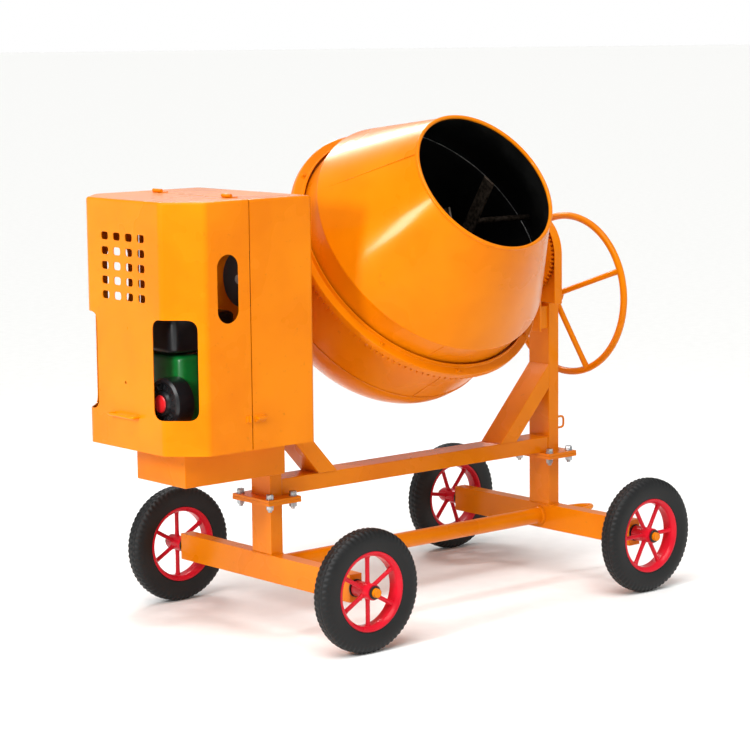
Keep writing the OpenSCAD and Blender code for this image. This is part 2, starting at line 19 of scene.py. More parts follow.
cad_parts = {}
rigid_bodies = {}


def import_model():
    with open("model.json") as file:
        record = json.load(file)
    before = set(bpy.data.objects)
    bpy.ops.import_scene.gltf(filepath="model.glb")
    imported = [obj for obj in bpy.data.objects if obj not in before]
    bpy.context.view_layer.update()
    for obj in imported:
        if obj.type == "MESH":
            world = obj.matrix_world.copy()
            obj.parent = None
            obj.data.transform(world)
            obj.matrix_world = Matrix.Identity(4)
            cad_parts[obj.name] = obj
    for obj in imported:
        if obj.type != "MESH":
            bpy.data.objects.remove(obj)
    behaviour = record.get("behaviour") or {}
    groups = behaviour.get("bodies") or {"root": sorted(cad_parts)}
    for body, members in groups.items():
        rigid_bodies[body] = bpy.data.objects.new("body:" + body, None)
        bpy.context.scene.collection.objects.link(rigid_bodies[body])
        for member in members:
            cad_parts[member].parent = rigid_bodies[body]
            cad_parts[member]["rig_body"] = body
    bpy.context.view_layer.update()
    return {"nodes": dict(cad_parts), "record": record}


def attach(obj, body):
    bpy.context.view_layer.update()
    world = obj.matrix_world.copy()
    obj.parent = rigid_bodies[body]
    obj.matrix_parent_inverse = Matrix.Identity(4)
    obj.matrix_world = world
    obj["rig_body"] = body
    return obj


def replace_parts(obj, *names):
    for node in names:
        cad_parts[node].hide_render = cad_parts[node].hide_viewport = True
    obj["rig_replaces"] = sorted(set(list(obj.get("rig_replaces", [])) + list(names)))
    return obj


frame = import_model()

LOG = logging.getLogger("mixer")
MM = 0.001
MIDDLE_X = 164 * MM  # the point midway between the axles, in the shared frame
TAU = 2 * np.pi


class Slot(Enum):
    """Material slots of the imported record."""

    ORANGE = "orange_paint"
    RED = "red_paint"
    STEEL = "bare_steel"
    BLACK = "black_paint"
    INSIDE = "drum_inside"
    GREEN = "engine_green"
    RUBBER = "tyre_rubber"


class Body(Enum):
    """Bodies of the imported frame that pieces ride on."""

    TROLLEY = "trolley"
    COVER = "engine_cover"
    YOKE = "tilting_yoke"
    DRUM = "drum"
    DRIVE = "drive_line"
    HAND_WHEEL = "hand_wheel_set"


# ---------------------------------------------------------------- finishes


def linear(colour: str) -> tuple[float, float, float, float]:
    """Turns an sRGB hex colour to linear values.

    Args:
        colour: six hex digits after a hash sign.

    Returns:
        Linear red, green and blue, and an alpha of one.
    """
    srgb = np.array([int(colour[i : i + 2], 16) for i in (1, 3, 5)]) / 255
    low, high = srgb / 12.92, ((srgb + 0.055) / 1.055) ** 2.4
    return (*np.where(srgb <= 0.04045, low, high).tolist(), 1.0)


def add(tree: bpy.types.NodeTree, kind: str, settings: dict[Any, Any] | None = None, **links: Any) -> bpy.types.Node:
    """Adds one node with its settings and links.

    Args:
        tree: the material's node tree.
        kind: the node type after "ShaderNode".
        settings: values by input name or number, or by attribute name; "ramp" holds (place, hex colour) pairs.
        links: source sockets by input name, with spaces as underscores, or by "i" and the input's number.

    Returns:
        The new node.
    """
    node = tree.nodes.new("ShaderNode" + kind)
    for key, value in (settings or {}).items():
        if key == "ramp":
            ramp = node.color_ramp
            for place, _ in value[2:]:
                ramp.elements.new(place)
            for element, (place, colour) in zip(ramp.elements, sorted(value)):
                element.position, element.color = place, linear(colour)
        elif isinstance(key, int) or key in node.inputs:
            node.inputs[key].default_value = value
        else:
            setattr(node, key, value)
    for key, socket in links.items():
        name = int(key[1:]) if key[1:].isdigit() else key.replace("_", " ")
        tree.links.new(socket, node.inputs[name])
    return node


def per_metre(feature: float) -> float:
    """Noise scale whose blobs are about this wide, in metres."""
    return 0.5 / feature


@dataclass(frozen=True)
class Finish(ABC):
    """A surface finish: a named procedural material on Object coordinates."""

    name: str

    def material(self) -> bpy.types.Material:
        """Returns the finish's material, built on first use."""
        found = bpy.data.materials.get(self.name)
        return found or self._build()

    def _build(self) -> bpy.types.Material:
        """Builds the node tree: a Principled shader dressed by the finish.

        Returns:
            The new material.
        """
        made = bpy.data.materials.new(self.name)
        made.use_nodes = True
        tree = made.node_tree
        tree.nodes.clear()
        out = add(tree, "OutputMaterial")
        shader = add(tree, "BsdfPrincipled")
        tree.links.new(shader.outputs["BSDF"], out.inputs["Surface"])
        place = add(tree, "TexCoord").outputs["Object"]
        self.dress(tree, shader, place)
        return made

    @abstractmethod
    def dress(self, tree: bpy.types.NodeTree, shader: bpy.types.Node, place: bpy.types.NodeSocket) -> None:
        """Sets the shader's values and links its patterns.

        Args:
            tree: the material's node tree.
            shader: the Principled shader.
            place: the Object coordinates.
        """


@dataclass(frozen=True)
class Enamel(Finish):
    """Machine enamel sprayed on steel in one thick coat, so it flows, sags a little and shines."""

    colour: str = "#E27E04"
    deep: str = "#D87200"
    grime: str = "#9A5410"
    sheen: str = "#FFB45A"
    roughness: float = 0.26
    coat: float = 0.12
    wear: float = 0.35
    peel: float = 2.2 * MM  # orange peel of a spray gun; drawn near twice its real width so that it shows
    sag: float = 55 * MM  # slow waves where the wet coat ran

    def dress(self, tree: bpy.types.NodeTree, shader: bpy.types.Node, place: bpy.types.NodeSocket) -> None:
        """Adds cloudy colour, grime in scattered specks, orange peel and sag waves.

        Args:
            tree: the material's node tree.
            shader: the Principled shader.
            place: the Object coordinates.
        """
        cloud = add(tree, "TexNoise", {"Scale": per_metre(0.16), "Detail": 3.0, "Roughness": 0.55}, Vector=place)
        tone = add(tree, "ValToRGB", {"ramp": [(0.36, self.deep), (0.62, self.colour)]}, Fac=cloud.outputs[0])
        speck = add(tree, "TexNoise", {"Scale": per_metre(0.012), "Detail": 6.0, "Roughness": 0.7}, Vector=place)
        limits = {"From Min": 0.62, "From Max": 0.74, "To Max": self.wear}
        mask = add(tree, "MapRange", limits, Value=speck.outputs[0])
        dirty = add(tree, "Mix", {"data_type": "RGBA", 7: linear(self.grime)}, i0=mask.outputs[0], i6=tone.outputs[0])
        tree.links.new(dirty.outputs[2], shader.inputs["Base Color"])
        limits = {"To Min": self.roughness - 0.06, "To Max": self.roughness + 0.1}
        rough = add(tree, "MapRange", limits, Value=cloud.outputs[0])
        tree.links.new(rough.outputs[0], shader.inputs["Roughness"])
        peel = add(tree, "TexNoise", {"Scale": per_metre(self.peel), "Detail": 1.0}, Vector=place)
        sag = add(tree, "TexNoise", {"Scale": per_metre(self.sag), "Detail": 2.0}, Vector=place)
        slow = add(tree, "Bump", {"Strength": 0.25, "Distance": 0.6 * MM}, Height=sag.outputs[0])
        fine = add(
            tree, "Bump", {"Strength": 0.12, "Distance": 0.05 * MM}, Height=peel.outputs[0], Normal=slow.outputs[0]
        )
        tree.links.new(fine.outputs[0], shader.inputs["Normal"])
        shader.inputs["IOR"].default_value = 1.35
        shader.inputs["Specular Tint"].default_value = linear(self.sheen)
        shader.inputs["Coat Weight"].default_value = self.coat
        shader.inputs["Coat Roughness"].default_value = 0.12


@dataclass(frozen=True)
class Rubber(Finish):
    """Black vulcanised rubber from a mould, dull with a grey bloom."""

    def dress(self, tree: bpy.types.NodeTree, shader: bpy.types.Node, place: bpy.types.NodeSocket) -> None:
        """Adds a grey bloom in clouds and a fine moulded grain.

        Args:
            tree: the material's node tree.
            shader: the Principled shader.
            place: the Object coordinates.
        """
        bloom = add(tree, "TexNoise", {"Scale": per_metre(0.05), "Detail": 5.0, "Roughness": 0.6}, Vector=place)
        tone = add(tree, "ValToRGB", {"ramp": [(0.35, "#070808"), (0.7, "#111213")]}, Fac=bloom.outputs[0])
        tree.links.new(tone.outputs[0], shader.inputs["Base Color"])
        rough = add(tree, "MapRange", {"To Min": 0.42, "To Max": 0.66}, Value=bloom.outputs[0])
        tree.links.new(rough.outputs[0], shader.inputs["Roughness"])
        grain = add(tree, "TexNoise", {"Scale": per_metre(1.6 * MM), "Detail": 2.0}, Vector=place)
        bump = add(tree, "Bump", {"Strength": 0.3, "Distance": 0.1 * MM}, Height=grain.outputs[0])
        tree.links.new(bump.outputs[0], shader.inputs["Normal"])
        shader.inputs["IOR"].default_value = 1.4


@dataclass(frozen=True)
class Metal(Finish):
    """Bare or plated steel: turned, cast or zinc plated, told apart by colour, polish and grain."""

    light: str = "#C3C5C6"
    dark: str = "#8E9092"
    low_rough: float = 0.25
    high_rough: float = 0.45
    grain: float = 3 * MM

    def dress(self, tree: bpy.types.NodeTree, shader: bpy.types.Node, place: bpy.types.NodeSocket) -> None:
        """Adds cloudy plating and a fine uneven skin.

        Args:
            tree: the material's node tree.
            shader: the Principled shader.
            place: the Object coordinates.
        """
        cloud = add(tree, "TexNoise", {"Scale": per_metre(6 * MM), "Detail": 4.0}, Vector=place)
        tone = add(tree, "ValToRGB", {"ramp": [(0.35, self.dark), (0.65, self.light)]}, Fac=cloud.outputs[0])
        tree.links.new(tone.outputs[0], shader.inputs["Base Color"])
        rough = add(tree, "MapRange", {"To Min": self.low_rough, "To Max": self.high_rough}, Value=cloud.outputs[0])
        tree.links.new(rough.outputs[0], shader.inputs["Roughness"])
        skin = add(tree, "TexNoise", {"Scale": per_metre(self.grain), "Detail": 3.0}, Vector=place)
        bump = add(tree, "Bump", {"Strength": 0.2, "Distance": 0.1 * MM}, Height=skin.outputs[0])
        tree.links.new(bump.outputs[0], shader.inputs["Normal"])
        shader.inputs["Metallic"].default_value = 1.0


@dataclass(frozen=True)
class Moulding(Finish):
    """Injection moulded plastic or black primer: even colour, fine grain, soft shine."""

    colour: str = "#101112"
    deep: str = "#0A0B0C"
    roughness: float = 0.4

    def dress(self, tree: bpy.types.NodeTree, shader: bpy.types.Node, place: bpy.types.NodeSocket) -> None:
        """Adds a slight change of tone and a moulded grain.

        Args:
            tree: the material's node tree.
            shader: the Principled shader.
            place: the Object coordinates.
        """
        cloud = add(tree, "TexNoise", {"Scale": per_metre(0.03), "Detail": 4.0}, Vector=place)
        tone = add(tree, "ValToRGB", {"ramp": [(0.35, self.deep), (0.7, self.colour)]}, Fac=cloud.outputs[0])
        tree.links.new(tone.outputs[0], shader.inputs["Base Color"])
        limits = {"To Min": self.roughness - 0.08, "To Max": self.roughness + 0.12}
        rough = add(tree, "MapRange", limits, Value=cloud.outputs[0])
        tree.links.new(rough.outputs[0], shader.inputs["Roughness"])
        grain = add(tree, "TexNoise", {"Scale": per_metre(1.2 * MM), "Detail": 1.0}, Vector=place)
        bump = add(tree, "Bump", {"Strength": 0.15, "Distance": 0.08 * MM}, Height=grain.outputs[0])
        tree.links.new(bump.outputs[0], shader.inputs["Normal"])


ORANGE = Enamel("gloss enamel on steel, orange")
RED = Enamel(
    "gloss enamel on steel, red", colour="#D2182C", deep="#B80F22", grime="#5E0A12", sheen="#FFB0A8", wear=0.25
)
RUBBER = Rubber("vulcanised rubber, black")
ZINC = Metal("zinc plated steel")
STEEL = Metal("turned steel", light="#B4B4B2", dark="#7C7C7A", low_rough=0.22, high_rough=0.5)
ALLOY = Metal("cast aluminium", light="#C9CBCC", dark="#A2A4A6", low_rough=0.45, high_rough=0.62, grain=2 * MM)
WELD = Enamel("gloss enamel over weld bead, orange", colour="#D87604", deep="#C46400", wear=0.6)
WORN = Metal("worn steel with dried cement", light="#75685C", dark="#43392F", low_rough=0.4, high_rough=0.6)
BLACK = Moulding("black oxide and black paint on steel")
INSIDE = Moulding("black primer on drum sheet", colour="#1A1A19", deep="#0C0C0C", roughness=0.45)
GREEN = Moulding("moulded nylon, green", colour="#0B7A30", deep="#086025", roughness=0.32)
PLASTIC = Moulding("moulded ABS, black", colour="#16171A", deep="#0E0F11", roughness=0.3)
RED_PLASTIC = Moulding("moulded ABS, red", colour="#C81A20", deep="#A81218", roughness=0.3)
FLOOR = Moulding("matt vinyl floor, pale", colour="#F6F6F4", deep="#F2F2F0", roughness=0.7)

SLOT_FINISH = {
    Slot.ORANGE: ORANGE,
    Slot.RED: RED,
    Slot.STEEL: STEEL,
    Slot.BLACK: BLACK,
    Slot.INSIDE: INSIDE,
    Slot.GREEN: GREEN,
    Slot.RUBBER: RUBBER,
}


# ---------------------------------------------------------------- surfaces


@dataclass
class Surface:
    """Points and four sided faces of one or more grids."""

    points: np.ndarray
    faces: np.ndarray

    def __add__(self, other: "Surface") -> "Surface":
        """Both surfaces as one.

        Args:
            other: the surface to join on.

        Returns:
            A surface with the points and faces of both.
        """
        return Surface(
            np.concatenate([self.points, other.points]), np.concatenate([self.faces, other.faces + len(self.points)])
        )

    def moved(self, shift: Sequence[float], turn: np.ndarray | None = None) -> "Surface":
        """Turns the points by a matrix whose columns are the new axes, then shifts them.

        Args:
            shift: where the old origin goes.
            turn: three new axes as columns, or none.

        Returns:
            The moved surface.
        """
        points = self.points if turn is None else self.points @ np.asarray(turn, float).T
        return Surface(points + np.asarray(shift, float), self.faces)


def together(parts: Sequence[Surface]) -> Surface:
    """Several surfaces as one.

    Args:
        parts: the surfaces.

    Returns:
        One surface with all their points and faces.
    """
    total = parts[0]
    for part in parts[1:]:
        total = total + part
    return total


def grid(points: np.ndarray, wrap_rows: bool = False, wrap_columns: bool = True) -> Surface:
    """Joins a grid of points by four sided faces.

    Each face takes a point, its neighbour along the row and the same two of the next row.

    Args:
        points: rows by columns by three.
        wrap_rows: the last row joins the first.
        wrap_columns: the last column joins the first.

    Returns:
        The surface.
    """
    rows, columns = points.shape[:2]
    i = np.arange(rows if wrap_rows else rows - 1)[:, None]
    j = np.arange(columns if wrap_columns else columns - 1)[None, :]
    i2, j2 = (i + 1) % rows, (j + 1) % columns
    corners = [i * columns + j, i * columns + j2, i2 * columns + j2, i2 * columns + j]
    return Surface(points.reshape(-1, 3), np.stack(corners, -1).reshape(-1, 4))


def loft(rows: Sequence[np.ndarray]) -> Surface:
    """Skins closed outlines and shuts both ends, each with a point at its outline's mean.

    Args:
        rows: outlines, each with as many points by three.

    Returns:
        A closed surface.
    """
    skin = np.stack(rows)
    ends = [np.repeat(skin[k].mean(0)[None], skin.shape[1], 0)[None] for k in (0, -1)]
    return grid(np.concatenate([ends[0], skin, ends[1]]))


def revolve(profile: Sequence[Sequence[float]] | np.ndarray, count: int = 96, closed: bool = False) -> Surface:
    """Turns a profile about local Z: point (r, z) at angle a goes to (r cos a, r sin a, z).

    Args:
        profile: (radius, height) pairs.
        count: steps round the turn.
        closed: the profile's end joins its start; otherwise its ends lie on the axis.

    Returns:
        A closed surface.
    """
    r, z = np.asarray(profile, float).T
    a = np.arange(count) * TAU / count
    points = np.stack([r[:, None] * np.cos(a), r[:, None] * np.sin(a), np.repeat(z[:, None], count, 1)], -1)
    return grid(points, wrap_rows=closed)


def rounded(
    profile: Sequence[Sequence[float]] | np.ndarray, radius: float, closed: bool = True, steps: int = 4
) -> np.ndarray:
    """Rounds a polygon's corners: each corner becomes a quadratic curve between points set back along its two sides.

    The set-back is the radius, cut to two fifths of the shorter side.

    Args:
        profile: corner points in the plane.
        radius: set-back of the curve's ends from the corner.
        closed: the outline closes; otherwise its two ends stay.
        steps: points in each curve.

    Returns:
        The rounded outline, points by two.
    """
    p = np.asarray(profile, float)
    before, after = np.roll(p, 1, 0) - p, np.roll(p, -1, 0) - p
    lb, la = np.linalg.norm(before, axis=1), np.linalg.norm(after, axis=1)
    back = np.minimum(radius, 0.4 * np.minimum(lb, la))[:, None]
    a, b = p + before / np.maximum(lb, 1e-12)[:, None] * back, p + after / np.maximum(la, 1e-12)[:, None] * back
    t = np.linspace(0, 1, steps)[None, :, None]
    curve = (1 - t) ** 2 * a[:, None] + 2 * t * (1 - t) * p[:, None] + t**2 * b[:, None]
    if closed:
        return curve.reshape(-1, 2)
    return np.concatenate([p[:1], curve[1:-1].reshape(-1, 2), p[-1:]])


def circle(radius: float, count: int = 16) -> np.ndarray:
    """A circle as points by two."""
    a = np.arange(count) * TAU / count
    return radius * np.stack([np.cos(a), np.sin(a)], -1)


def box_outline(width: float, height: float, radius: float, steps: int = 4) -> np.ndarray:
    """A rectangle with round corners, centred."""
    w, h = width / 2, height / 2
    return rounded([(-w, -h), (w, -h), (w, h), (-w, h)], radius, True, steps)


def lifted(outline: np.ndarray, height: float) -> np.ndarray:
    """An outline in the plane, at a height on local Z."""
    return np.column_stack([outline, np.full(len(outline), height)])


def slab(outline: np.ndarray, low: float, high: float, edge: float, steps: int = 3) -> Surface:
    """A plate of any outline with round edges: the outline shrinks by a quarter circle at both ends.

    Args:
        outline: closed outline, points by two, about its own middle.
        low: lower face on local Z.
        high: upper face on local Z.
        edge: radius of the edge.
        steps: rings in each edge.

    Returns:
        A closed surface.
    """
    middle = outline.mean(0)
    size = np.abs(outline - middle).max(0)
    a = np.linspace(0, np.pi / 2, steps)
    inset, rise = edge * (1 - np.sin(a)), edge * (1 - np.cos(a))
    rings = [(low + d, i) for d, i in zip(rise, inset)] + [(high - d, i) for d, i in zip(rise[::-1], inset[::-1])]
    return loft([lifted(middle + (outline - middle) * (1 - i / size), z) for z, i in rings])


def sweep(
    path: np.ndarray, section: np.ndarray, up: Sequence[float], closed: bool = False, swell: np.ndarray | None = None
) -> Surface:
    """Carries a section along a path.

    The section's first axis stays nearest to up, and its second is square to that and to the path.

    Args:
        path: points by three.
        section: closed section, points by two.
        up: the direction that the first axis follows.
        closed: the path's end joins its start.
        swell: size of the section at each path point, one where not given.

    Returns:
        A closed surface.
    """
    along = np.roll(path, -1, 0) - np.roll(path, 1, 0) if closed else np.gradient(path, axis=0)
    along = along / np.linalg.norm(along, axis=1)[:, None]
    first = np.asarray(up, float) - (along @ np.asarray(up, float))[:, None] * along
    first = first / np.linalg.norm(first, axis=1)[:, None]
    second = np.cross(along, first)
    size = (np.ones(len(path)) if swell is None else swell)[:, None, None]
    skin = path[:, None] + size * (section[None, :, :1] * first[:, None] + section[None, :, 1:] * second[:, None])
    return grid(skin, wrap_rows=True) if closed else loft(list(skin))


def curve(corners: Sequence[Sequence[float]], radius: float, steps: int = 8) -> np.ndarray:
    """A path through corners, each rounded by a quadratic curve set back along its sides.

    Args:
        corners: points by three.
        radius: set-back from each inner corner.
        steps: points in each curve.

    Returns:
        Path points by three.
    """
    p = np.asarray(corners, float)
    mid = p[1:-1]
    before, after = p[:-2] - mid, p[2:] - mid
    lb, la = np.linalg.norm(before, axis=1)[:, None], np.linalg.norm(after, axis=1)[:, None]
    back = np.minimum(radius, 0.45 * np.minimum(lb, la))
    a, b = mid + before / lb * back, mid + after / la * back
    t = np.linspace(0, 1, steps)[None, :, None]
    bend = (1 - t) ** 2 * a[:, None] + 2 * t * (1 - t) * mid[:, None] + t**2 * b[:, None]
    return np.concatenate([p[:1], bend.reshape(-1, 3), p[-1:]])


def hexagon(across: float, low: float, high: float) -> Surface:
    """A hexagon head or nut along local Z, its corners turned off at the outer end.

    Args:
        across: distance across flats.
        low: seat on local Z.
        high: outer face on local Z.

    Returns:
        A closed surface.
    """
    flat = circle(across / np.sqrt(3), 6)
    rings = [(low, 1.0), (high - 0.12 * across, 1.0), (high, 0.86)]
    return loft([lifted(flat * s, z) for z, s in rings])


def bolt(across: float, grip: float, head: float = 0.0, tail: float = 0.0) -> Surface:
    """A bolt through a plate, along local Z: head and washer above, nut and thread below.

    The plate's faces are at 0 and -grip.

    Args:
        across: distance across flats.
        grip: thickness that it clamps.
        head: height of the head, or two thirds of the size across flats.
        tail: thread that shows past the nut.

    Returns:
        A closed surface of several pieces.
    """
    high = head or 0.62 * across
    disc = 0.12 * across
    washer = [(0, 0), (across * 0.62, 0), (across * 0.62, disc), (0, disc)]
    upper = revolve(washer, 20) + hexagon(across, disc, disc + high)
    lower = revolve([(r, -grip - z) for r, z in washer], 20) + hexagon(across, disc, disc + high).moved(
        (0, 0, -grip), np.diag([1.0, 1.0, -1.0])
    )
    end = -grip - disc - high - tail
    core, crest = 0.27 * across, 0.31 * across
    thread = revolve([(0, end), (core, end), (crest, end + 0.1 * across), (crest, 0), (0, 0)], 14)
    return together([upper, lower, thread])


def weld(path: np.ndarray, radius: float, up: Sequence[float], closed: bool = False) -> Surface:
    """A weld bead: a round section carried along a path, swelling once every one and a half radii as the pool did.

    Args:
        path: points by three.
        radius: bead radius.
        up: a direction square to the path.
        closed: the bead runs back to its start.

    Returns:
        A closed surface.
    """
    whole = np.concatenate([path, path[:1]]) if closed else path
    at = np.concatenate([[0], np.cumsum(np.linalg.norm(np.diff(whole, axis=0), axis=1))])
    count = max(6, int(at[-1] / (0.55 * radius)))
    s = np.linspace(0, at[-1], count, endpoint=not closed)
    line = np.stack([np.interp(s, at, whole[:, k]) for k in range(3)], -1)
    swell = 1 + 0.1 * np.sin(s * TAU / (1.5 * radius)) + 0.06 * np.sin(s * TAU / (6.3 * radius) + 1)
    if not closed:
        swell = swell * np.minimum(1, 0.35 + np.minimum(s, at[-1] - s) / radius)
    return sweep(line, circle(radius, 8), up, closed, swell)


def axes(z: Sequence[float], x: Sequence[float] = (1, 0, 0)) -> np.ndarray:
    """A turn whose local Z goes to z and whose local X goes nearest to x.

    Args:
        z: new direction of local Z.
        x: wanted direction of local X.

    Returns:
        Three new axes as columns.
    """
    k = np.asarray(z, float) / np.linalg.norm(z)
    i = np.asarray(x, float) - np.dot(x, k) * k
    i = i / np.linalg.norm(i)
    return np.column_stack([i, np.cross(k, i), k])


def about_z(angle: float) -> np.ndarray:
    """A turn about local Z by an angle in radians."""
    return axes((0, 0, 1), (np.cos(angle), np.sin(angle), 0))


def millimetres(*profile: tuple[float, float]) -> np.ndarray:
    """A profile given in millimetres, in metres."""
    return np.array(profile, float) * MM


ALONG_X = axes((1, 0, 0), (0, 1, 0))  # local X, Y, Z go to Y, Z, X


# ---------------------------------------------------------------- pieces


def finished(obj: bpy.types.Object, finish: Finish, body: Body | str, stands_for: Sequence[str]) -> None:
    """Gives a piece its finish, slot and body, and hides the CAD nodes that it stands for.

    Args:
        obj: the piece.
        finish: its finish.
        body: the body that it rides on.
        stands_for: CAD node names.
    """
    obj.data.materials.clear()
    obj.data.materials.append(finish.material())
    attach(obj, body.value if isinstance(body, Body) else body)
    if stands_for:
        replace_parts(obj, *stands_for)


def soften(obj: bpy.types.Object, edge: float, steps: int = 2, sharp: float = 32.0) -> None:
    """Rounds a piece's sharp edges with a live Bevel modifier and keeps its flat faces flat.

    Args:
        obj: the piece.
        edge: width of the rounding.
        steps: segments across it.
        sharp: least angle between faces that counts as an edge, in degrees.
    """
    bevel = obj.modifiers.new("edge", "BEVEL")
    bevel.width, bevel.segments = edge, steps
    bevel.limit_method, bevel.angle_limit = "ANGLE", np.radians(sharp)
    bevel.harden_normals = True
    bevel.use_clamp_overlap = True


def shape(mesh: bpy.types.Mesh, sharp: float, outward: bool = True) -> None:
    """Closes seams and poles, points faces outward and shades smooth below an angle.

    Args:
        mesh: the mesh to finish.
        sharp: angle from which an edge stays sharp, in degrees.
        outward: turn the faces outward.
    """
    bm = bmesh.new()
    bm.from_mesh(mesh)
    bmesh.ops.remove_doubles(bm, verts=bm.verts, dist=0.002 * MM)
    bmesh.ops.dissolve_degenerate(bm, edges=bm.edges, dist=0.001 * MM)
    if outward:
        bmesh.ops.recalc_face_normals(bm, faces=bm.faces)
    bm.to_mesh(mesh)
    bm.free()
    mesh.shade_smooth()
    mesh.set_sharp_from_angle(angle=np.radians(sharp))


def piece(
    name: str,
    surface: Surface,
    finish: Finish,
    body: Body | str,
    stands_for: Sequence[str] = (),
    sharp: float = 35.0,
) -> bpy.types.Object:
    """Makes a new piece from a surface.

    Args:
        name: the piece's name.
        surface: its closed surface, in the shared frame.
        finish: its finish.
        body: the body that it rides on.
        stands_for: CAD nodes that it stands for.
        sharp: angle from which an edge stays sharp, in degrees.

    Returns:
        The new object.
    """
    mesh = bpy.data.meshes.new(name)
    mesh.from_pydata(surface.points.tolist(), [], surface.faces.tolist())
    shape(mesh, sharp)
    obj = bpy.data.objects.new(name, mesh)
    bpy.context.scene.collection.objects.link(obj)
    finished(obj, finish, body, stands_for)
    return obj


def refined(
    node: str, finish: Finish, edge: float, steps: int = 2, sharp: float = 32.0
) -> bpy.types.Object:
    """Makes a merged copy of a CAD node, with soft edges, to stand for it.

    Args:
        node: the CAD node's name.
        finish: its finish.
        edge: width of the edge rounding.
        steps: segments across it.
        sharp: least angle between faces that counts as an edge, in degrees.

    Returns:
        The new object.
    """
    source = frame["nodes"][node]
    mesh = source.data.copy()
    mesh.name = node + "_finished"
    bm = bmesh.new()
    bm.from_mesh(mesh)
    bmesh.ops.remove_doubles(bm, verts=bm.verts, dist=0.02 * MM)
    bmesh.ops.dissolve_limit(bm, angle_limit=np.radians(0.6), verts=bm.verts, edges=bm.edges)
    bm.to_mesh(mesh)
    bm.free()
    mesh.shade_smooth()
    mesh.set_sharp_from_angle(angle=np.radians(sharp))
    obj = bpy.data.objects.new(node + "_finished", mesh)
    bpy.context.scene.collection.objects.link(obj)
    if edge > 0:
        soften(obj, edge, steps, sharp)
    finished(obj, finish, source["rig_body"], [node])
    return obj


def carved(
    name: str, surface: Surface, cuts: Sequence[Surface], body: Body, stands_for: Sequence[str], sharp: float = 30.0
) -> bpy.types.Object:
    """Makes a painted sheet piece from a solid by cutting other solids out of it.

    Args:
        name: the piece's name.
        surface: the solid.
        cuts: solids to take away, each a set of solids that do not touch.
        body: the body that it rides on.
        stands_for: CAD nodes that it stands for.
        sharp: angle from which an edge stays sharp, in degrees.

    Returns:
        The new object.
    """
    obj = piece(name, surface, ORANGE, body, stands_for, sharp)
    tools = []
    for number, cut in enumerate(cuts):
        mesh = bpy.data.meshes.new(f"{name}_cut_{number}")
        mesh.from_pydata(cut.points.tolist(), [], cut.faces.tolist())
        shape(mesh, sharp)
        tool = bpy.data.objects.new(mesh.name, mesh)
        bpy.context.scene.collection.objects.link(tool)
        modifier = obj.modifiers.new("cut", "BOOLEAN")
        modifier.operation, modifier.solver, modifier.object = "DIFFERENCE", "EXACT", tool
        tools.append(tool)
    bpy.context.view_layer.update()
    mesh = bpy.data.meshes.new_from_object(obj.evaluated_get(bpy.context.evaluated_depsgraph_get()))
    obj.modifiers.clear()
    obj.data = mesh
    for tool in tools:
        bpy.data.objects.remove(tool)
    shape(mesh, sharp, outward=False)
    normals = obj.modifiers.new("flat faces", "WEIGHTED_NORMAL")
    normals.keep_sharp = True
    mesh.materials.clear()
    mesh.materials.append(ORANGE.material())
    LOG.info("%s: %d faces after cutting", name, len(mesh.polygons))
    return obj


# ---------------------------------------------------------------- sub-assemblies


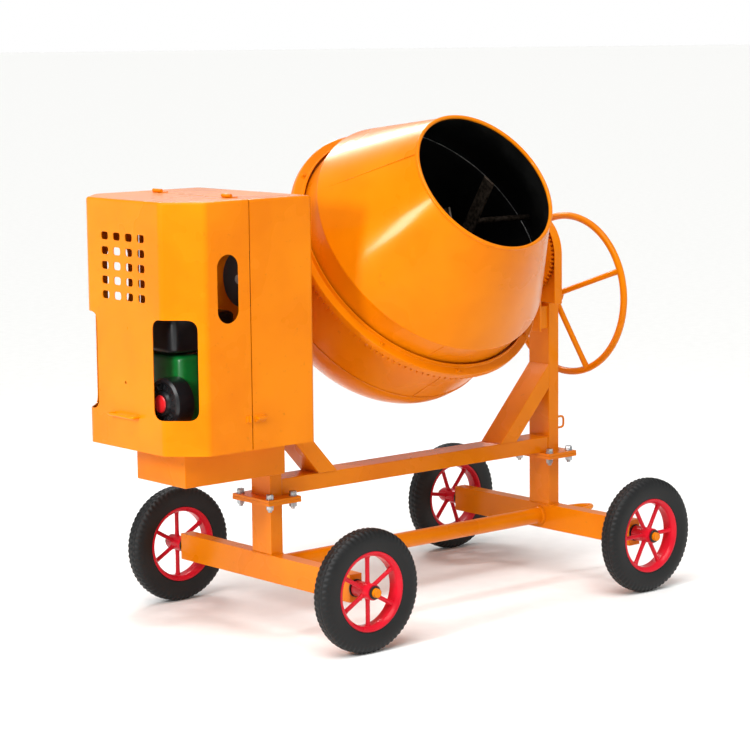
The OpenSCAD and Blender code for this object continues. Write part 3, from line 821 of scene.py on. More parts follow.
@dataclass
class Trolley:
    """Welded frame on two axle beams: weld beads, bolts and bent bars round the plain tubes."""

    axle_x: float = 637 * MM
    axle_z: float = 200 * MM
    beam: tuple[float, float] = (50 * MM, 90 * MM)
    post: tuple[float, float] = (48 * MM, 102 * MM)
    foot_z: float = 245 * MM
    flange_z: float = 420 * MM
    flange: tuple[float, float, float] = (136 * MM, 196 * MM, 10 * MM)
    deck_z: float = 440 * MM
    long_top: float = 494 * MM
    bolt_across: float = 22 * MM
    bead: float = 3.6 * MM
    tow_foot: float = 62 * MM
    tow_tip: float = 882 * MM
    tow_bar: float = 8 * MM
    tube_edge: float = 3.0 * MM
    plate_edge: float = 1.8 * MM
    brace_at: tuple[float, float] = (160 * MM, 238 * MM)  # from the post's face to both ends of a brace's foot
    brace_weld: tuple[float, float] = (46.92 * MM, 15.3 * MM)  # both ends of a weld, from the beam's middle
    collar: float = 33.5 * MM
    sunk: float = 0.5 * MM  # how far a bead sits into the corner that it fills
    tube_nodes: tuple[str, ...] = ("long_beam", "frame_braces", "tie_tube", "left_axle_beam", "right_axle_beam")
    post_nodes: tuple[str, ...] = ("left_post", "right_post", "engine_base")

    def build(self) -> None:
        """Dresses the tubes and adds welds, bolts, tow loop and eye."""
        for node in self.tube_nodes:
            refined(node, ORANGE, self.tube_edge, 3)
        for node in self.post_nodes:
            refined(node, ORANGE, self.plate_edge, 2)
        piece("frame_welds", self._welds(), WELD, Body.TROLLEY)
        piece("flange_bolts", self._bolts(), ZINC, Body.TROLLEY)
        piece("tow_loop_bar", self._tow_loop(), ORANGE, Body.TROLLEY, ["tow_loop"])
        piece("post_eye_bar", self._eye(), ORANGE, Body.TROLLEY, ["post_eye"])

    def _ring(self, x: float, size: tuple[float, float], z: float) -> Surface:
        """A weld bead round a rectangular tube at one height."""
        path = lifted(box_outline(size[0], size[1], 4 * MM, 3), z) + np.array([MIDDLE_X + x, 0, 0])
        return weld(path, self.bead, (0, 0, 1), closed=True)

    def _welds(self) -> Surface:
        """Beads at the post feet, flange plates, braces, long beam ends and tie tube.

        Returns:
            All the beads as one surface.
        """
        beads, half = [], 47 * MM
        for side in (-1, 1):
            x = side * self.axle_x
            for z in (self.foot_z, self.flange_z - self.sunk, self.deck_z + self.sunk):
                beads.append(self._ring(x, self.post, z))
            inner = MIDDLE_X + side * (self.axle_x - self.post[0] / 2 - self.sunk)
            for y in (-half, half):
                rise = np.array([[inner, y, self.deck_z + 2 * MM], [inner, y, self.long_top]])
                beads.append(weld(rise, self.bead, (0, 1, 0)))
            across = np.array([[inner, -half, self.long_top], [inner, half, self.long_top]])
            beads.append(weld(across, self.bead, (0, 0, 1)))
            for reach in self.brace_at:
                foot = MIDDLE_X + side * (self.axle_x - self.post[0] / 2 - reach)
                for part in (-1, 1):
                    ends = np.array([[foot, part * length, self.long_top] for length in self.brace_weld])
                    beads.append(weld(ends, self.bead * 0.9, (0, 0, 1)))
            collar = circle(self.collar, 40)
            face = MIDDLE_X + side * (self.axle_x - self.beam[0] / 2 - 1 * MM)
            ring = np.column_stack([np.full(len(collar), face), collar[:, 0], collar[:, 1] + self.axle_z])
            beads.append(weld(ring, self.bead, (1, 0, 0), closed=True))
        return together(beads)

    def _bolts(self) -> Surface:
        """Four bolts through each pair of flange plates.

        Returns:
            All eight bolts as one surface.
        """
        inset = 20 * MM
        grip = 2 * self.flange[2]
        one = bolt(self.bolt_across, grip, tail=7 * MM)
        places = [
            (MIDDLE_X + side * self.axle_x + i * (self.flange[0] / 2 - inset), j * (self.flange[1] / 2 - inset))
            for side in (-1, 1)
            for i in (-1, 1)
            for j in (-1, 1)
        ]
        turns = [about_z(0.7 * number) for number in range(len(places))]
        return together([one.moved((x, y, self.deck_z), t) for (x, y), t in zip(places, turns)])

    def _tow_loop(self) -> Surface:
        """One bar bent to a rounded triangle: its two feet meet the axle beam.

        Returns:
            The bent bar.
        """
        foot = MIDDLE_X + self.axle_x + self.beam[0] / 2 - 1 * MM
        tip = MIDDLE_X + self.tow_tip
        corners = [
            (foot, -self.tow_foot, self.axle_z),
            (tip - 28 * MM, -26 * MM, self.axle_z),
            (tip, 0, self.axle_z),
            (tip - 28 * MM, 26 * MM, self.axle_z),
            (foot, self.tow_foot, self.axle_z),
        ]
        return sweep(curve(corners, 26 * MM, 10), circle(self.tow_bar, 16), (0, 0, 1))

    def _eye(self) -> Surface:
        """A thin bar bent to a staple on the outer face of the right post.

        Returns:
            The bent bar.
        """
        x = MIDDLE_X + self.axle_x + self.post[0] / 2
        corners = [(x, -39 * MM, 520 * MM), (x + 36 * MM, -39 * MM, 520 * MM)]
        corners += [(x + 36 * MM, -39 * MM, 560 * MM), (x, -39 * MM, 560 * MM)]
        return sweep(curve(corners, 14 * MM, 8), circle(4 * MM, 12), (0, 1, 0))


@dataclass
class RoadWheel:
    """Solid rubber tyre on a spoked steel wheel with a plain bored hub."""

    end: int  # -1 at the hood end, 1 at the hand wheel end
    side: int  # -1 on the mouth side, 1 behind
    turn: float  # angle of the first spoke from level, degrees
    axle_x: float = 637 * MM
    axle_z: float = 200 * MM
    plane_y: float = 505 * MM
    tyre_radius: float = 200 * MM
    tyre_width: float = 68 * MM
    rim_radius: float = 126 * MM
    rim_width: float = 54 * MM
    hub: tuple[float, float] = (461 * MM, 543 * MM)
    hub_radius: float = 26 * MM
    spoke_y: float = 511 * MM
    spoke_radius: float = 7.2 * MM
    lugs: int = 64
    lug_depth: float = 1.8 * MM

    @property
    def tag(self) -> str:
        """End and side, as the CAD nodes name them."""
        return f"{'left' if self.end < 0 else 'right'}_{'front' if self.side < 0 else 'back'}"

    def build(self) -> None:
        """Makes the tyre, the wheel and the axle end."""
        body = f"road_wheel_{self.tag}"
        tyre = self._placed(self._tyre())
        piece(f"tread_tyre_{self.tag}", tyre, RUBBER, body, [f"tyre_{self.tag}"], 50)
        piece(f"spoked_wheel_{self.tag}", self._placed(self._wheel()), RED, body, [f"wheel_{self.tag}"])
        piece(f"axle_washers_{self.tag}", self._placed(self._washers()), BLACK, Body.TROLLEY)
        piece(f"axle_end_{self.tag}", self._placed(self._axle_end()), ORANGE, Body.TROLLEY)

    def _placed(self, surface: Surface) -> Surface:
        """Moves a surface made about local Z, with Z outwards from the machine's middle, to the wheel's place."""
        turn = axes((0, self.side, 0), (1, 0, 0))
        return surface.moved((MIDDLE_X + self.end * self.axle_x, 0, self.axle_z), turn)

    def _tyre(self) -> Surface:
        """Tyre: a rounded section turned about the axle, its tread lifted by lugs.

        With s the place across the tread from -1 to 1 and a the angle, a lug stands where
        sin(lugs a + 5 |s|) is high, fading to nothing at the side walls; two narrow grooves run round at |s| = 0.3.

        Returns:
            The tyre about local Z.
        """
        w, r, seat = self.tyre_width / 2, self.tyre_radius, self.rim_radius
        half = [(seat - 10 * MM, 20 * MM), (seat + 1 * MM, 23 * MM), (seat + 5 * MM, 30 * MM), (r - 34 * MM, w)]
        half += [(r - 12 * MM, w - 4 * MM), (r - 2 * MM, w - 14 * MM), (r, 8 * MM)]
        outline = rounded(half + [(a, -b) for a, b in half[::-1]], 9 * MM, True, 5)
        count = self.lugs * 7
        a = np.arange(count) * TAU / count
        radius, across = outline[:, :1], outline[:, 1:]
        s = across / w
        zone = np.clip((radius - (r - 26 * MM)) / (14 * MM), 0, 1)
        wave = np.clip(1.6 * np.sin(self.lugs * a[None] + 5 * np.abs(s)) + 0.5, 0, 1)
        groove = np.exp(-(((np.abs(s) - 0.3) / 0.05) ** 2))
        lift = zone * (self.lug_depth * (wave - 1) - 1.5 * MM * groove)
        ring = 0.5 * MM * np.exp(-(((radius - (r - 44 * MM)) / (1.6 * MM)) ** 2))
        far = radius + lift
        level = np.repeat(across, count, 1) + np.sign(across) * (ring + 0.35 * lift)
        points = np.stack([far * np.cos(a), far * np.sin(a), level + self.plane_y], -1)
        return grid(points, wrap_rows=True)

    def _wheel(self) -> Surface:
        """Rolled rim, six bar spokes and a hub tube, welded together.

        Returns:
            The wheel about local Z.
        """
        r, w, y = self.rim_radius, self.rim_width / 2, self.plane_y
        lip, well, sheet = 3.2 * MM, 14 * MM, 3.6 * MM
        outer = [(r + lip, w - 1 * MM), (r + lip, w + 2 * MM), (r - 4 * MM, w + 2 * MM), (r - well, w - 9 * MM)]
        inner = [(r - 1 * MM, -w + sheet), (r - well + sheet, -w + 12 * MM)]
        section = outer + [(a, -b) for a, b in outer[::-1]] + inner + [(a, -b) for a, b in inner[::-1]]
        rim = revolve(rounded(section, 5 * MM, True, 4) + np.array([0, y]), 96, closed=True)
        low, high, hub, bore = *self.hub, self.hub_radius, 15.2 * MM
        tube = [(bore, low), (hub, low), (hub, high), (bore, high)]
        parts = [rim, revolve(rounded(tube, 1.6 * MM, True, 3), 48, closed=True)]
        reach = np.linspace(hub - 4 * MM, r - well + 1 * MM, 14)
        edge = np.minimum(reach - reach[0], reach[-1] - reach)
        swell = 1 + 0.42 * np.exp(-edge / (5 * MM))
        for k in range(6):
            a = np.radians(self.turn + 60 * k)
            path = np.stack([reach * np.cos(a), reach * np.sin(a), np.full(14, self.spoke_y)], -1)
            parts.append(sweep(path, circle(self.spoke_radius, 14), (0, 0, 1), swell=swell))
        return together(parts)

    def _washers(self) -> Surface:
        """A black washer at the outer end of the hub.

        Returns:
            The washer about local Z.
        """
        end = self.hub[1] + 2.5 * MM
        outer = [(15.5 * MM, end), (21 * MM, end), (21 * MM, end + 6 * MM), (15.5 * MM, end + 6 * MM)]
        return revolve(rounded(outer, 1.2 * MM, True, 3), 40, closed=True)

    def _axle_end(self) -> Surface:
        """The painted end of the axle with a turned chamfer.

        Returns:
            The axle end about local Z.
        """
        end, r = 563.5 * MM, 15.3 * MM
        start, edge = self.hub[1] - 4 * MM, 2.5 * MM
        outline = [(0, start), (r, start), (r, end - edge), (r - edge, end), (0, end)]
        return revolve(outline, 32)


@dataclass
class Drum:
    """Mixing drum: dished bowl, straight band, cone and rolled mouth, turned about one leaning axis."""

    centre: tuple[float, float, float] = (MIDDLE_X - 20 * MM, 0.0, 1160 * MM)
    lift: float = 36.5
    radius: float = 444 * MM
    bowl_radius: float = 437 * MM
    bowl_at: float = -154 * MM
    dish: float = 266 * MM
    cone_at: float = 167 * MM
    mouth_radius: float = 262 * MM
    mouth_at: float = 497 * MM
    bead: float = 6.5 * MM
    sheet: float = 4 * MM
    steps: int = 224

    @property
    def turn(self) -> np.ndarray:
        """The drum's axes: local Z points out of the mouth."""
        a = np.radians(self.lift)
        return axes((0, -np.cos(a), np.sin(a)), (1, 0, 0))

    def build(self) -> None:
        """Makes the shell, the lining, the mouth bead, the welds and the mixing arms."""
        shell = revolve(self._wall(0) + self._wall(self.sheet / 2)[::-1], self.steps)
        lining = revolve(self._wall(self.sheet / 2 + 0.1 * MM) + self._wall(self.sheet)[::-1], 160)
        stand_for = ["drum_bowl", "drum_cone", "mouth_bead"]
        piece("drum_shell", self._placed(shell), ORANGE, Body.DRUM, stand_for, 30)
        piece("drum_lining", self._placed(lining), INSIDE, Body.DRUM)
        piece("mouth_roll", self._placed(self._roll()), ORANGE, Body.DRUM)
        piece("drum_welds", self._placed(self._seams()), WELD, Body.DRUM)
        seam = self._hoop(self.radius - self.sheet - 0.6 * MM, self.cone_at - 1 * MM, 1.7 * MM, 160)
        piece("inner_seam", self._placed(seam), STEEL, Body.DRUM)
        refined("ring_gear", ORANGE, 0)
        refined("drum_hub", ORANGE, 1.5 * MM)
        refined("mixing_paddles", WORN, 1.0 * MM)

    def _placed(self, surface: Surface) -> Surface:
        """Moves a surface from the drum's own axes to its place."""
        return surface.moved(self.centre, self.turn)

    def _wall(self, depth: float) -> list[tuple[float, float]]:
        """The wall's outline at a depth below its outer face, from the pole of the bowl to the mouth.

        The bowl is a quarter ellipse; the band is straight; the cone laps over the band by the sheet's thickness.

        Args:
            depth: how far below the outer face.

        Returns:
            (radius, place along the axis) pairs.
        """
        t = np.linspace(np.pi / 2, 0, 26)
        r, h = self.bowl_radius - depth, self.dish - depth
        bowl = np.stack([r * np.cos(t), self.bowl_at - h * np.sin(t)], -1)
        bowl[0, 0] = 0
        band, lap = self.radius - depth, 2.6 * MM
        upper = [(r, self.bowl_at + 1 * MM), (band, 58 * MM), (band, self.cone_at - 4 * MM)]
        upper += [(band + lap, self.cone_at - 3 * MM), (band + lap, self.cone_at + 4 * MM)]
        upper += [(self.mouth_radius - depth, self.mouth_at)]
        return bowl.tolist() + rounded(upper, 9 * MM, False, 4).tolist()

    def _roll(self) -> Surface:
        """The mouth's rolled edge."""
        return self._hoop(self.mouth_radius - self.sheet / 2, self.mouth_at, self.bead, self.steps)

    def _hoop(self, radius: float, at: float, tube: float, count: int) -> Surface:
        """A round bar bent to a ring about the drum's axis."""
        section = circle(tube, 16) + np.array([radius, at])
        return revolve(section, count, closed=True)

    def _on_wall(self, angles: np.ndarray, at: np.ndarray, radius: np.ndarray) -> np.ndarray:
        """Points on the drum from angles, distances along the axis and radii."""
        return np.stack([radius * np.cos(angles), radius * np.sin(angles), at], -1)

    def _seams(self) -> Surface:
        """Weld beads: round the bowl, along the cone, and short ones across the band and the bowl.

        Returns:
            All the beads, in the drum's own axes.
        """
        a = np.linspace(0, TAU, 120, endpoint=False)
        full = np.ones(120)
        bowl = self._on_wall(a, full * self.bowl_at, full * (self.bowl_radius + 0.6 * MM))
        cone_z = np.linspace(self.cone_at + 6 * MM, self.mouth_at - 6 * MM, 20)
        slope = (cone_z - self.cone_at) / (self.mouth_at - self.cone_at)
        cone_r = self.radius + 2.2 * MM - slope * (self.radius - self.mouth_radius)
        cone = self._on_wall(np.full(20, np.radians(152)), cone_z, cone_r)
        band_z = np.linspace(96 * MM, self.cone_at - 6 * MM, 6)
        band = self._on_wall(np.radians(np.linspace(246, 248.5, 6)), band_z, np.full(6, self.radius))
        low = np.linspace(-8 * MM, self.bowl_at, 8)
        swell = (low - self.bowl_at) / (58 * MM - self.bowl_at) * (self.radius - self.bowl_radius)
        lower = self._on_wall(np.radians(np.linspace(262, 258, 8)), low, self.bowl_radius + swell)
        parts = [weld(bowl, 2.6 * MM, (0, 0, 1), closed=True), weld(cone, 2.0 * MM, (1, 0, 0))]
        return together(parts + [weld(band, 2.4 * MM, (1, 0, 0)), weld(lower, 2.4 * MM, (1, 0, 0))])


@dataclass
class GearGuard:
    """Fixed ring that covers the drum's gear: skirt, ledge and upstanding lip, held by the yoke's arms."""

    outer: float = 485 * MM
    skirt: tuple[float, float] = (51 * MM, 74 * MM)  # short enough to show the gear's teeth below it
    lip_radius: float = 456 * MM
    lip_top: float = 89 * MM
    sheet: float = 4 * MM
    arm_face: float = 495 * MM
    clips_at: tuple[float, ...] = (15, 75, 135, 225, 262, 310, 345)

    def build(self, drum: Drum) -> None:
        """Makes the guard and its brackets.

        Args:
            drum: the drum whose axes the guard shares.
        """
        low, high = self.skirt
        o, p, s = self.outer, self.lip_radius, self.sheet
        section = [(o - s, low), (o, low), (o, high), (p, high), (p, self.lip_top)]
        section += [(p - s, self.lip_top), (p - s, high - s), (o - s, high - s)]
        ring = revolve(rounded(section, 4.5 * MM, True, 4), drum.steps, closed=True)
        parts = [ring]
        for side in (-1, 1):
            width = self.arm_face - self.outer + 4 * MM
            pad = slab(box_outline(width, 56 * MM, 2 * MM), low + 8 * MM, high - 4 * MM, 1.5 * MM)
            parts.append(pad.moved((side * (self.outer - 3 * MM + width / 2), 0, 0)))
        guard = together(parts).moved(drum.centre, drum.turn)
        piece("guard_ring", guard, ORANGE, Body.YOKE, ["gear_guard_ring"], 30)
        clips = together([self._clip(np.radians(angle)) for angle in self.clips_at])
        piece("guard_clips", clips.moved(drum.centre, drum.turn), ORANGE, Body.YOKE)

    def _clip(self, angle: float) -> Surface:
        """A small bolt with a square tab on the ledge.

        Args:
            angle: where it stands round the ring, in radians.

        Returns:
            The clip, in the drum's own axes.
        """
        at = (self.outer + self.lip_radius) / 2
        tab = slab(box_outline(16 * MM, 22 * MM, 3 * MM), 0, 2 * MM, 0.6 * MM)
        both = tab + hexagon(8 * MM, 2 * MM, 6 * MM)
        return both.moved((at * np.cos(angle), at * np.sin(angle), self.skirt[1]), about_z(angle))


@dataclass
class TiltDrive:
    """Yoke, trunnions, big gear under its strip guard, pinion and sleeve."""

    plate_x: float = 576 * MM
    strip_y: float = 118 * MM
    bolt_z: float = 1090 * MM

    def build(self) -> None:
        """Dresses the CAD nodes and adds the guard's pointed bolt."""
        for node in ("yoke", "tilt_gear", "tilt_gear_guard", "right_bearing_plate", "left_bearing", "shaft_sleeve"):
            refined(node, ORANGE, {"yoke": 3 * MM, "tilt_gear": 0.5 * MM}.get(node, 1.2 * MM))
        for node in ("tilt_pinion", "left_trunnion", "right_trunnion", "drive_shaft", "drive_pinion", "drum_spindle"):
            refined(node, STEEL, 0.4 * MM)
        refined("belt_pulley", BLACK, 1 * MM)
        cone = [(0, 0), (8 * MM, 0), (8 * MM, 7 * MM), (3.4 * MM, 8 * MM), (0.6 * MM, 19 * MM), (0, 19 * MM)]
        stud = revolve(cone, 18).moved((MIDDLE_X + self.plate_x, -self.strip_y, self.bolt_z), ALONG_X)
        piece("guard_stud", stud, ORANGE, Body.TROLLEY)


@dataclass
class HandWheel:
    """Tilting wheel: a round tube rim, four dished spokes and a turned hub."""

    centre_z: float = 997.5 * MM
    face_x: float = 668 * MM
    rim_x: float = 756 * MM
    radius: float = 283 * MM
    tube: float = 12.5 * MM
    spokes: int = 4
    first: float = 69.0  # the first spoke's angle from +Y towards +Z, degrees
    spoke_radius: float = 10.2 * MM
    spoke_root: float = 20 * MM  # how far from the axis a spoke starts

    def build(self) -> None:
        """Makes the rim, the spokes and the hub."""
        a = np.arange(128) * TAU / 128
        line = np.stack([np.full(128, self.rim_x), self.radius * np.cos(a), self.radius * np.sin(a)], -1)
        parts = [sweep(line, circle(self.tube, 18), (1, 0, 0), closed=True)]
        hub = millimetres((12.5, 0), (30, 0), (31, 3), (28, 8), (28, 40), (25, 44), (12.5, 44))
        ring = revolve(hub, 40, closed=True)
        parts.append(ring.moved((self.face_x, 0, 0), ALONG_X))
        parts += [self._spoke(np.radians(self.first + 360 * k / self.spokes)) for k in range(self.spokes)]
        wheel = together(parts).moved((MIDDLE_X, 0, self.centre_z))
        piece("tilt_wheel", wheel, ORANGE, Body.HAND_WHEEL, ["hand_wheel"])
        nut = hexagon(30 * MM, 0, 12 * MM) + revolve([(0, 0), (9 * MM, 0), (9 * MM, 19 * MM), (0, 20 * MM)], 20)
        placed = nut.moved((MIDDLE_X + self.face_x + 44 * MM, 0, self.centre_z), ALONG_X)
        piece("tilt_wheel_nut", placed, ZINC, Body.HAND_WHEEL)

    def _spoke(self, a: float) -> Surface:
        """A bar from the hub to the rim, swelling into its weld at both ends.

        Args:
            a: the spoke's angle from +Y towards +Z, in radians.

        Returns:
            The spoke, about the hub's middle.
        """
        s = np.linspace(0, 1, 24)
        out = self.spoke_root + s * (self.radius - self.spoke_root)
        x = self.face_x + 24 * MM + (self.rim_x - self.face_x - 24 * MM) * (s**1.05)
        edge = np.minimum(s, 1 - s) * self.radius
        swell = 1 + 0.28 * np.exp(-edge / (14 * MM))
        path = np.stack([x, out * np.cos(a), out * np.sin(a)], -1)
        return sweep(path, circle(self.spoke_radius, 16), (1, 0, 0), swell=swell)


@dataclass
class Hood:
    """Bent sheet hood: a hinged cover with vents, windows and oval openings, and a fixed rear half."""

    front: float = -1188 * MM
    back: float = -668 * MM
    seam: float = -918 * MM
    gap: float = 4 * MM
    chamfer: float = 101 * MM
    face: float = 396 * MM
    width: float = 596 * MM
    low: float = 657 * MM
    high: float = 1442 * MM
    sheet: float = 3 * MM
    bend: float = 13 * MM
    trunnion_z: float = 1160 * MM

    def build(self) -> None:
        """Makes both halves, the handle, the hinges and the latches."""
        whole = self._body(0)
        hollow = self._body(self.sheet)
        front_cut = self._block((self.seam - self.gap / 2, self.back + 1), self.low - 1, self.high + 1)
        back_cut = self._block((self.front - 1, self.seam + self.gap / 2), self.low - 1, self.high + 1)
        under = self._block((self.front - 1, self.back + 1), self.low - 0.5, self.low)
        hole = revolve([(0, 0), (38 * MM, 0), (38 * MM, 0.03), (0, 0.03)], 40)
        shaft = hole.moved((MIDDLE_X + self.back - 0.015, 0, self.trunnion_z), ALONG_X)
        carved("hood_front", whole, [hollow, front_cut, under, self._openings()], Body.COVER, ["hood_cover"])
        carved("hood_rear", whole, [hollow, back_cut, under, shaft], Body.TROLLEY, ["hood_body"])
        piece("hood_handle", self._handle(), ORANGE, Body.COVER, ["cover_handle"])
        refined("hood_hinges", ORANGE, 1.5 * MM)
        for side in (-1, 1):
            name = "mouth" if side < 0 else "rear"
            piece(f"latch_base_{name}_side", self._latch(side), ORANGE, Body.TROLLEY)
            piece(f"latch_hook_{name}_side", self._hook(side), ORANGE, Body.COVER)

    def _plan(self, inset: float) -> np.ndarray:
        """The hood's outline from above, moved inwards by the inset, with rounded bends at its front corners.

        Args:
            inset: how far inside the hood's outer face.

        Returns:
            The outline in the shared frame.
        """
        x0, x3, w, f = self.front + inset, self.back - inset, self.width / 2 - inset, self.face / 2 - 0.4 * inset
        x1 = self.front + self.chamfer + 0.6 * inset
        corners = [(x0, -f), (x1, -w), (x3, -w), (x3, w), (x1, w), (x0, f)]
        return rounded(corners, self.bend - inset, True, 5) + np.array([MIDDLE_X, 0])

    def _body(self, inset: float) -> Surface:
        """The hood as a solid, moved inwards by the inset; its lower end runs past the hood's edge."""
        return slab(self._plan(inset), self.low - 0.1, self.high - inset, 9 * MM - inset, 5)

    def _block(self, x: tuple[float, float], low: float, high: float) -> Surface:
        """A cutting block between two places along X."""
        corners = np.array([(x[0], -1), (x[1], -1), (x[1], 1), (x[0], 1)]) + np.array([MIDDLE_X, 0])
        return loft([lifted(corners, low), lifted(corners, high)])

    def _prism(self, outline: np.ndarray, place: Sequence[float], out: Sequence[float], deep: float) -> Surface:
        """A cutting prism: an outline whose second axis stands up, centred at a place and pushed both ways along out.

        Args:
            outline: closed outline.
            place: the prism's middle, X from the point midway between the axles.
            out: the direction that the prism runs along.
            deep: half of its length.

        Returns:
            The prism in the shared frame.
        """
        turn = axes(out, np.cross((0, 0, 1), out))
        solid = loft([lifted(outline, -deep), lifted(outline, deep)])
        return solid.moved((MIDDLE_X + place[0], place[1], place[2]), turn)

    def _openings(self) -> Surface:
        """Vent holes in four columns and five rows, a wrapped window and an oval on each side, and a lock hole.

        Returns:
            All the cutting solids as one surface.
        """
        vent = box_outline(38 * MM, 25 * MM, 14 * MM, 5)
        cuts = [
            self._prism(vent, (self.front, i * 65 * MM, self.high - (117 + 46.5 * k) * MM), (1, 0, 0), 10 * MM)
            for i in (-1.5, -0.5, 0.5, 1.5)
            for k in range(5)
        ]
        cuts.append(self._prism(circle(5 * MM, 20), (self.front, 0, self.low + 211 * MM), (1, 0, 0), 10 * MM))
        lean = np.arctan2((self.width - self.face) / 2, self.chamfer) / 2
        for s in (-1, 1):
            out = (np.cos(lean), -s * np.sin(lean), 0)
            across = np.array([np.sin(lean), s * np.cos(lean), 0])
            middle = np.array([self.front, s * self.face / 2, self.low + 267 * MM]) + 30 * MM * across
            window = box_outline(147 * MM, 312 * MM, 34 * MM, 7)
            cuts.append(self._prism(window, middle, out, 60 * MM))
            oval = circle(41.5 * MM, 40)
            oval[:, 1] += np.sign(oval[:, 1].round(6)) * 65.5 * MM
            place = (self.front + self.chamfer + 83 * MM, s * self.width / 2, self.high - 272 * MM)
            cuts.append(self._prism(oval, place, (0, 1, 0), 12 * MM))
        return together(cuts)

    def _handle(self) -> Surface:
        """A round bar bent to a flat staple on the front face.

        Returns:
            The bent bar.
        """
        x, z = MIDDLE_X + self.front, self.low + 108 * MM
        corners = [(x, -66 * MM, z), (x - 25 * MM, -66 * MM, z), (x - 25 * MM, 66 * MM, z), (x, 66 * MM, z)]
        return sweep(curve(corners, 12 * MM, 8), circle(5 * MM, 14), (0, 0, 1))

    def _latch(self, side: int) -> Surface:
        """A toggle latch's plate, lever and pivot on the fixed half.

        Args:
            side: -1 on the mouth side, 1 behind.

        Returns:
            The latch in the shared frame.
        """
        y = side * self.width / 2
        turn = axes((0, side, 0), (1, 0, 0))
        plate = slab(box_outline(42 * MM, 24 * MM, 4 * MM), 0, 3 * MM, 0.8 * MM)
        lever = slab(box_outline(38 * MM, 11 * MM, 5 * MM), 5 * MM, 9 * MM, 1.5 * MM)
        pivot = revolve([(0, 0), (4.5 * MM, 0), (4.5 * MM, 12 * MM), (0, 13 * MM)], 14)
        both = plate + lever.moved((3 * MM, 0, 0)) + pivot.moved((-12 * MM, 0, 0))
        return both.moved((MIDDLE_X + self.seam + 30 * MM, y, self.low + 100 * MM), turn)

    def _hook(self, side: int) -> Surface:
        """The latch's keeper on the cover: a plate with a turned-up edge.

        Args:
            side: -1 on the mouth side, 1 behind.

        Returns:
            The keeper in the shared frame.
        """
        turn = axes((0, side, 0), (1, 0, 0))
        plate = slab(box_outline(20 * MM, 22 * MM, 3 * MM), 0, 3 * MM, 0.8 * MM)
        edge = slab(box_outline(4 * MM, 20 * MM, 1.5 * MM), 0, 9 * MM, 1 * MM)
        both = plate + edge.moved((4 * MM, 0, 0))
        return both.moved((MIDDLE_X + self.seam - 16 * MM, side * self.width / 2, self.low + 100 * MM), turn)


@dataclass
class Engine:
    """Small air cooled diesel behind the hood's openings: crankcase, green shroud, starter, tank and silencer."""

    front: float = -1110 * MM
    low: float = 661 * MM
    fins: int = 8
    fin_pitch: float = 14.0
    ribs: int = 18
    rib_ring: float = 53.0

    def build(self) -> None:
        """Makes the engine's pieces about the place that the CAD block holds; their sizes are in millimetres."""
        case = self._block((250, 250, 190), 22).moved(self._place(175, 0, 95))
        levels = 205 + self.fin_pitch * np.arange(self.fins)
        fins = [self._block((150, 190, 6), 4).moved(self._place(190, 10, level)) for level in levels]
        piece("crankcase", together([case] + fins), ALLOY, Body.TROLLEY, ["engine_block"])
        shroud = self._block((92, 222, 264), 30).moved(self._place(68, -40, 160))
        piece("cooling_shroud", shroud, GREEN, Body.TROLLEY)
        tank = self._block((250, 268, 116), 30).moved(self._place(120, -20, 362))
        cap = revolve(millimetres((0, 0), (26, 0), (28, 4), (28, 16), (24, 20), (0, 21)), 32)
        filled = tank + cap.moved(self._place(60, -70, 426))
        piece("fuel_tank", filled, PLASTIC, Body.TROLLEY)
        self._starter()
        wall = millimetres((0, 0), (48, 0), (52, 8), (52, 120), (46, 130), (0, 130))
        can = revolve(rounded(wall, 6 * MM, False, 4), 40)
        piece("silencer", can.moved(self._place(70, 4, 446)), ALLOY, Body.TROLLEY)

    def _place(self, behind: float, across: float, above: float) -> np.ndarray:
        """A place in the shared frame.

        Args:
            behind: distance behind the engine's front, in millimetres.
            across: distance towards +Y, in millimetres.
            above: height above the engine's base, in millimetres.

        Returns:
            The place, in metres.
        """
        return np.array([MIDDLE_X + self.front, 0, self.low]) + np.array([behind, across, above]) * MM

    def _block(self, size: tuple[float, float, float], edge: float) -> Surface:
        """A block with round corners and edges, centred.

        Args:
            size: its length, width and height, in millimetres.
            edge: radius of its upright edges, in millimetres; the others have half of it.

        Returns:
            The block, in metres.
        """
        outline = box_outline(size[0] * MM, size[1] * MM, edge * MM, 6)
        return slab(outline, -size[2] / 2 * MM, size[2] / 2 * MM, edge / 2 * MM, 5)

    def _starter(self) -> None:
        """A ribbed round starter in front of the shroud, with a red middle."""
        turn = axes((-1, 0, 0), (0, 1, 0))
        place = self._place(30, -137, 150)
        side = [(0, 0), (78, 0), (80, 6), (80, 58), (74, 66)]
        front = [(66, 66), (60, 60), (40, 62), (36, 72), (0, 73)]
        body = revolve(millimetres(*side, *front), 64)
        rib, face = self._block((16, 3, 6), 1), 63 * MM
        ring = circle(self.rib_ring * MM, self.ribs)
        ribs = [rib.moved((a, b, face), about_z(np.arctan2(b, a))) for a, b in ring]
        piece("recoil_starter", together([body] + ribs).moved(place, turn), PLASTIC, Body.TROLLEY)
        knob = revolve(millimetres((0, 71), (26, 71), (28, 74), (26, 78), (12, 80), (0, 80)), 40)
        piece("starter_badge", knob.moved(place, turn), RED_PLASTIC, Body.TROLLEY)


# ---------------------------------------------------------------- studio


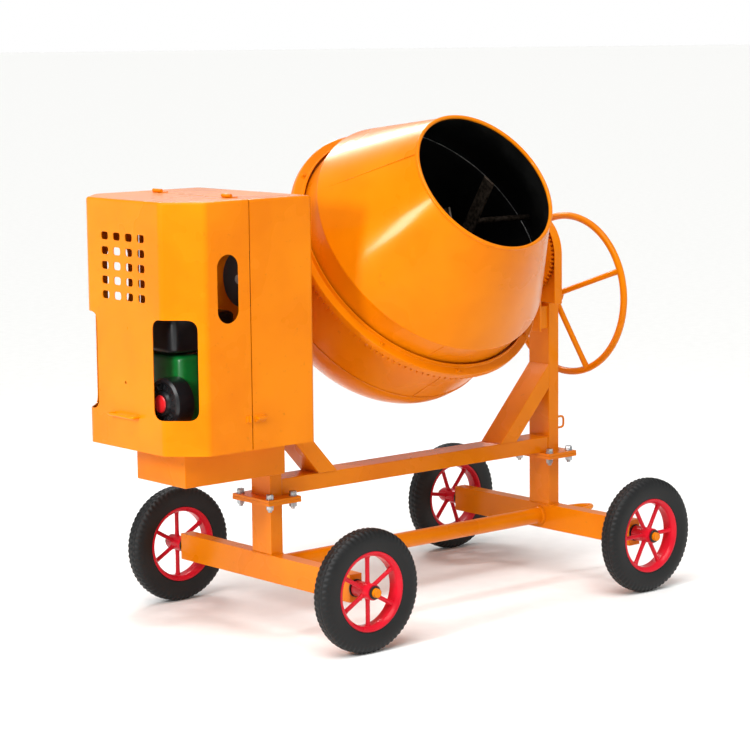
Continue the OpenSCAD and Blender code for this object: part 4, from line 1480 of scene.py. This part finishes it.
@dataclass
class Studio:
    """Pale floor, soft lights and the camera."""

    place: tuple[float, float, float] = (-5.4489, -6.4236, 1.9741)
    heading: float = 0.7036
    dip: float = -0.1396
    roll: float = -0.0108
    lens: float = 120.02
    floor_half: float = 200.0
    lights: list[tuple[str, tuple[float, float, float], tuple[float, float], float]] = field(
        default_factory=lambda: [
            ("left softbox", (-5.5, -3.2, 3.6), (3.0, 2.4), 8.0),
            ("front softbox", (1.8, -6.5, 3.4), (3.6, 2.4), 35.0),
            ("overhead softbox", (0.0, 0.3, 5.2), (4.5, 3.5), 20.0),
            ("side window", (-3.6, -1.0, 2.0), (0.42, 0.62), 70.0),  # its image lies beside the mouth
            ("roof strip", (1.1, 2.65, 3.35), (1.5, 0.32), 50.0),  # its image lies along the top of the cone
        ]
    )
    sun: tuple[float, float, float] = (-0.45, -0.38, 1.0)  # towards the main light
    sun_power: float = 2.75
    sun_spread: float = 45.0
    surround: tuple[tuple[float, str], ...] = ((0.02, "#FFFFFF"), (0.14, "#A4A4A4"))  # by height in the sky

    def build(self) -> None:
        """Makes the camera, the floor, the lights and the white surroundings."""
        self._camera()
        half = self.floor_half
        mesh = bpy.data.meshes.new("floor")
        mesh.from_pydata([(-half, -half, 0), (half, -half, 0), (half, half, 0), (-half, half, 0)], [], [(0, 1, 2, 3)])
        floor = bpy.data.objects.new("floor", mesh)
        floor.location.z = -0.5 * MM
        mesh.materials.append(FLOOR.material())
        bpy.context.scene.collection.objects.link(floor)
        for name, place, size, power in self.lights:
            self._softbox(name, place, size, power)
        sun = bpy.data.lights.new("main light", "SUN")
        sun.energy, sun.angle = self.sun_power, np.radians(self.sun_spread)
        lamp = bpy.data.objects.new("main light", sun)
        turn = axes(self.sun)
        lamp.matrix_world = Matrix([[*turn[k], 4.0 * self.sun[k]] for k in range(3)] + [[0, 0, 0, 1]])
        bpy.context.scene.collection.objects.link(lamp)
        scene = bpy.context.scene
        scene.world = self._surroundings()
        scene.view_settings.view_transform = "Standard"

    def _surroundings(self) -> bpy.types.World:
        """White walls at eye level that turn to a dimmer ceiling.

        Returns:
            The new world.
        """
        world = bpy.data.worlds.new("white studio")
        world.use_nodes = True
        tree = world.node_tree
        split = add(tree, "SeparateXYZ", Vector=add(tree, "TexCoord").outputs["Generated"])
        tone = add(tree, "ValToRGB", {"ramp": list(self.surround)}, Fac=split.outputs["Z"])
        tree.links.new(tone.outputs[0], tree.nodes["Background"].inputs["Color"])
        return world

    def _camera(self) -> None:
        """Sets the camera: it looks along (sin heading cos dip, cos heading cos dip, sin dip) and is then rolled."""
        h, e, q = self.heading, self.dip, self.roll
        look = np.array([np.sin(h) * np.cos(e), np.cos(h) * np.cos(e), np.sin(e)])
        right = np.array([np.cos(h), -np.sin(h), 0.0])
        up = np.cross(right, look)
        across, above = np.cos(q) * right + np.sin(q) * up, np.cos(q) * up - np.sin(q) * right
        columns = [across, above, -look, np.array(self.place)]
        data = bpy.data.cameras.new("camera")
        data.lens, data.sensor_width, data.clip_end = self.lens, 36.0, 200.0
        camera = bpy.data.objects.new("camera", data)
        camera.matrix_world = Matrix([[*(c[k] for c in columns)] for k in range(3)] + [[0, 0, 0, 1]])
        bpy.context.scene.collection.objects.link(camera)
        bpy.context.scene.camera = camera

    def _softbox(
        self, name: str, place: tuple[float, float, float], size: tuple[float, float], power: float
    ) -> None:
        """Adds a rectangular soft light that faces the middle of the machine.

        Args:
            name: the light's name.
            place: where it hangs.
            size: its width and height.
            power: its power in watts.
        """
        data = bpy.data.lights.new(name, "AREA")
        data.shape, data.energy = "RECTANGLE", power
        data.size, data.size_y = size
        light = bpy.data.objects.new(name, data)
        away = np.asarray(place) - np.array([0.0, 0.0, 0.9])
        turn = axes(away, (-away[1], away[0], 1e-6))
        light.matrix_world = Matrix([[*turn[k], place[k]] for k in range(3)] + [[0, 0, 0, 1]])
        bpy.context.scene.collection.objects.link(light)


@dataclass
class PlainNodes:
    """CAD nodes that need only soft edges and a finish."""

    edge: float = 0.6 * MM

    def build(self) -> None:
        """Dresses every CAD node that no new piece stands for."""
        done = {n for o in bpy.data.objects for n in o.get("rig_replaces", [])}
        slots = {part["node"]: Slot(part["material_slot"]) for part in frame["record"]["subparts"]}
        for node in sorted(frame["nodes"]):
            if node not in done:
                slot = slots[node]
                refined(node, SLOT_FINISH[slot], self.edge)


FIRST_SPOKE = {(-1, -1): 30.0, (-1, 1): 30.0, (1, -1): 0.0, (1, 1): 10.0}  # by end and side, as the wheels stand


def main() -> None:
    """Builds the studio and every sub-assembly in order."""
    logging.basicConfig(level=logging.INFO, format="%(name)s: %(message)s")
    Studio().build()
    Trolley().build()
    for end in (-1, 1):
        for side in (-1, 1):
            RoadWheel(end, side, FIRST_SPOKE[end, side]).build()
    drum = Drum()
    drum.build()
    GearGuard().build(drum)
    TiltDrive().build()
    HandWheel().build()
    Hood().build()
    Engine().build()
    PlainNodes().build()


if __name__ == "__main__":
    main()
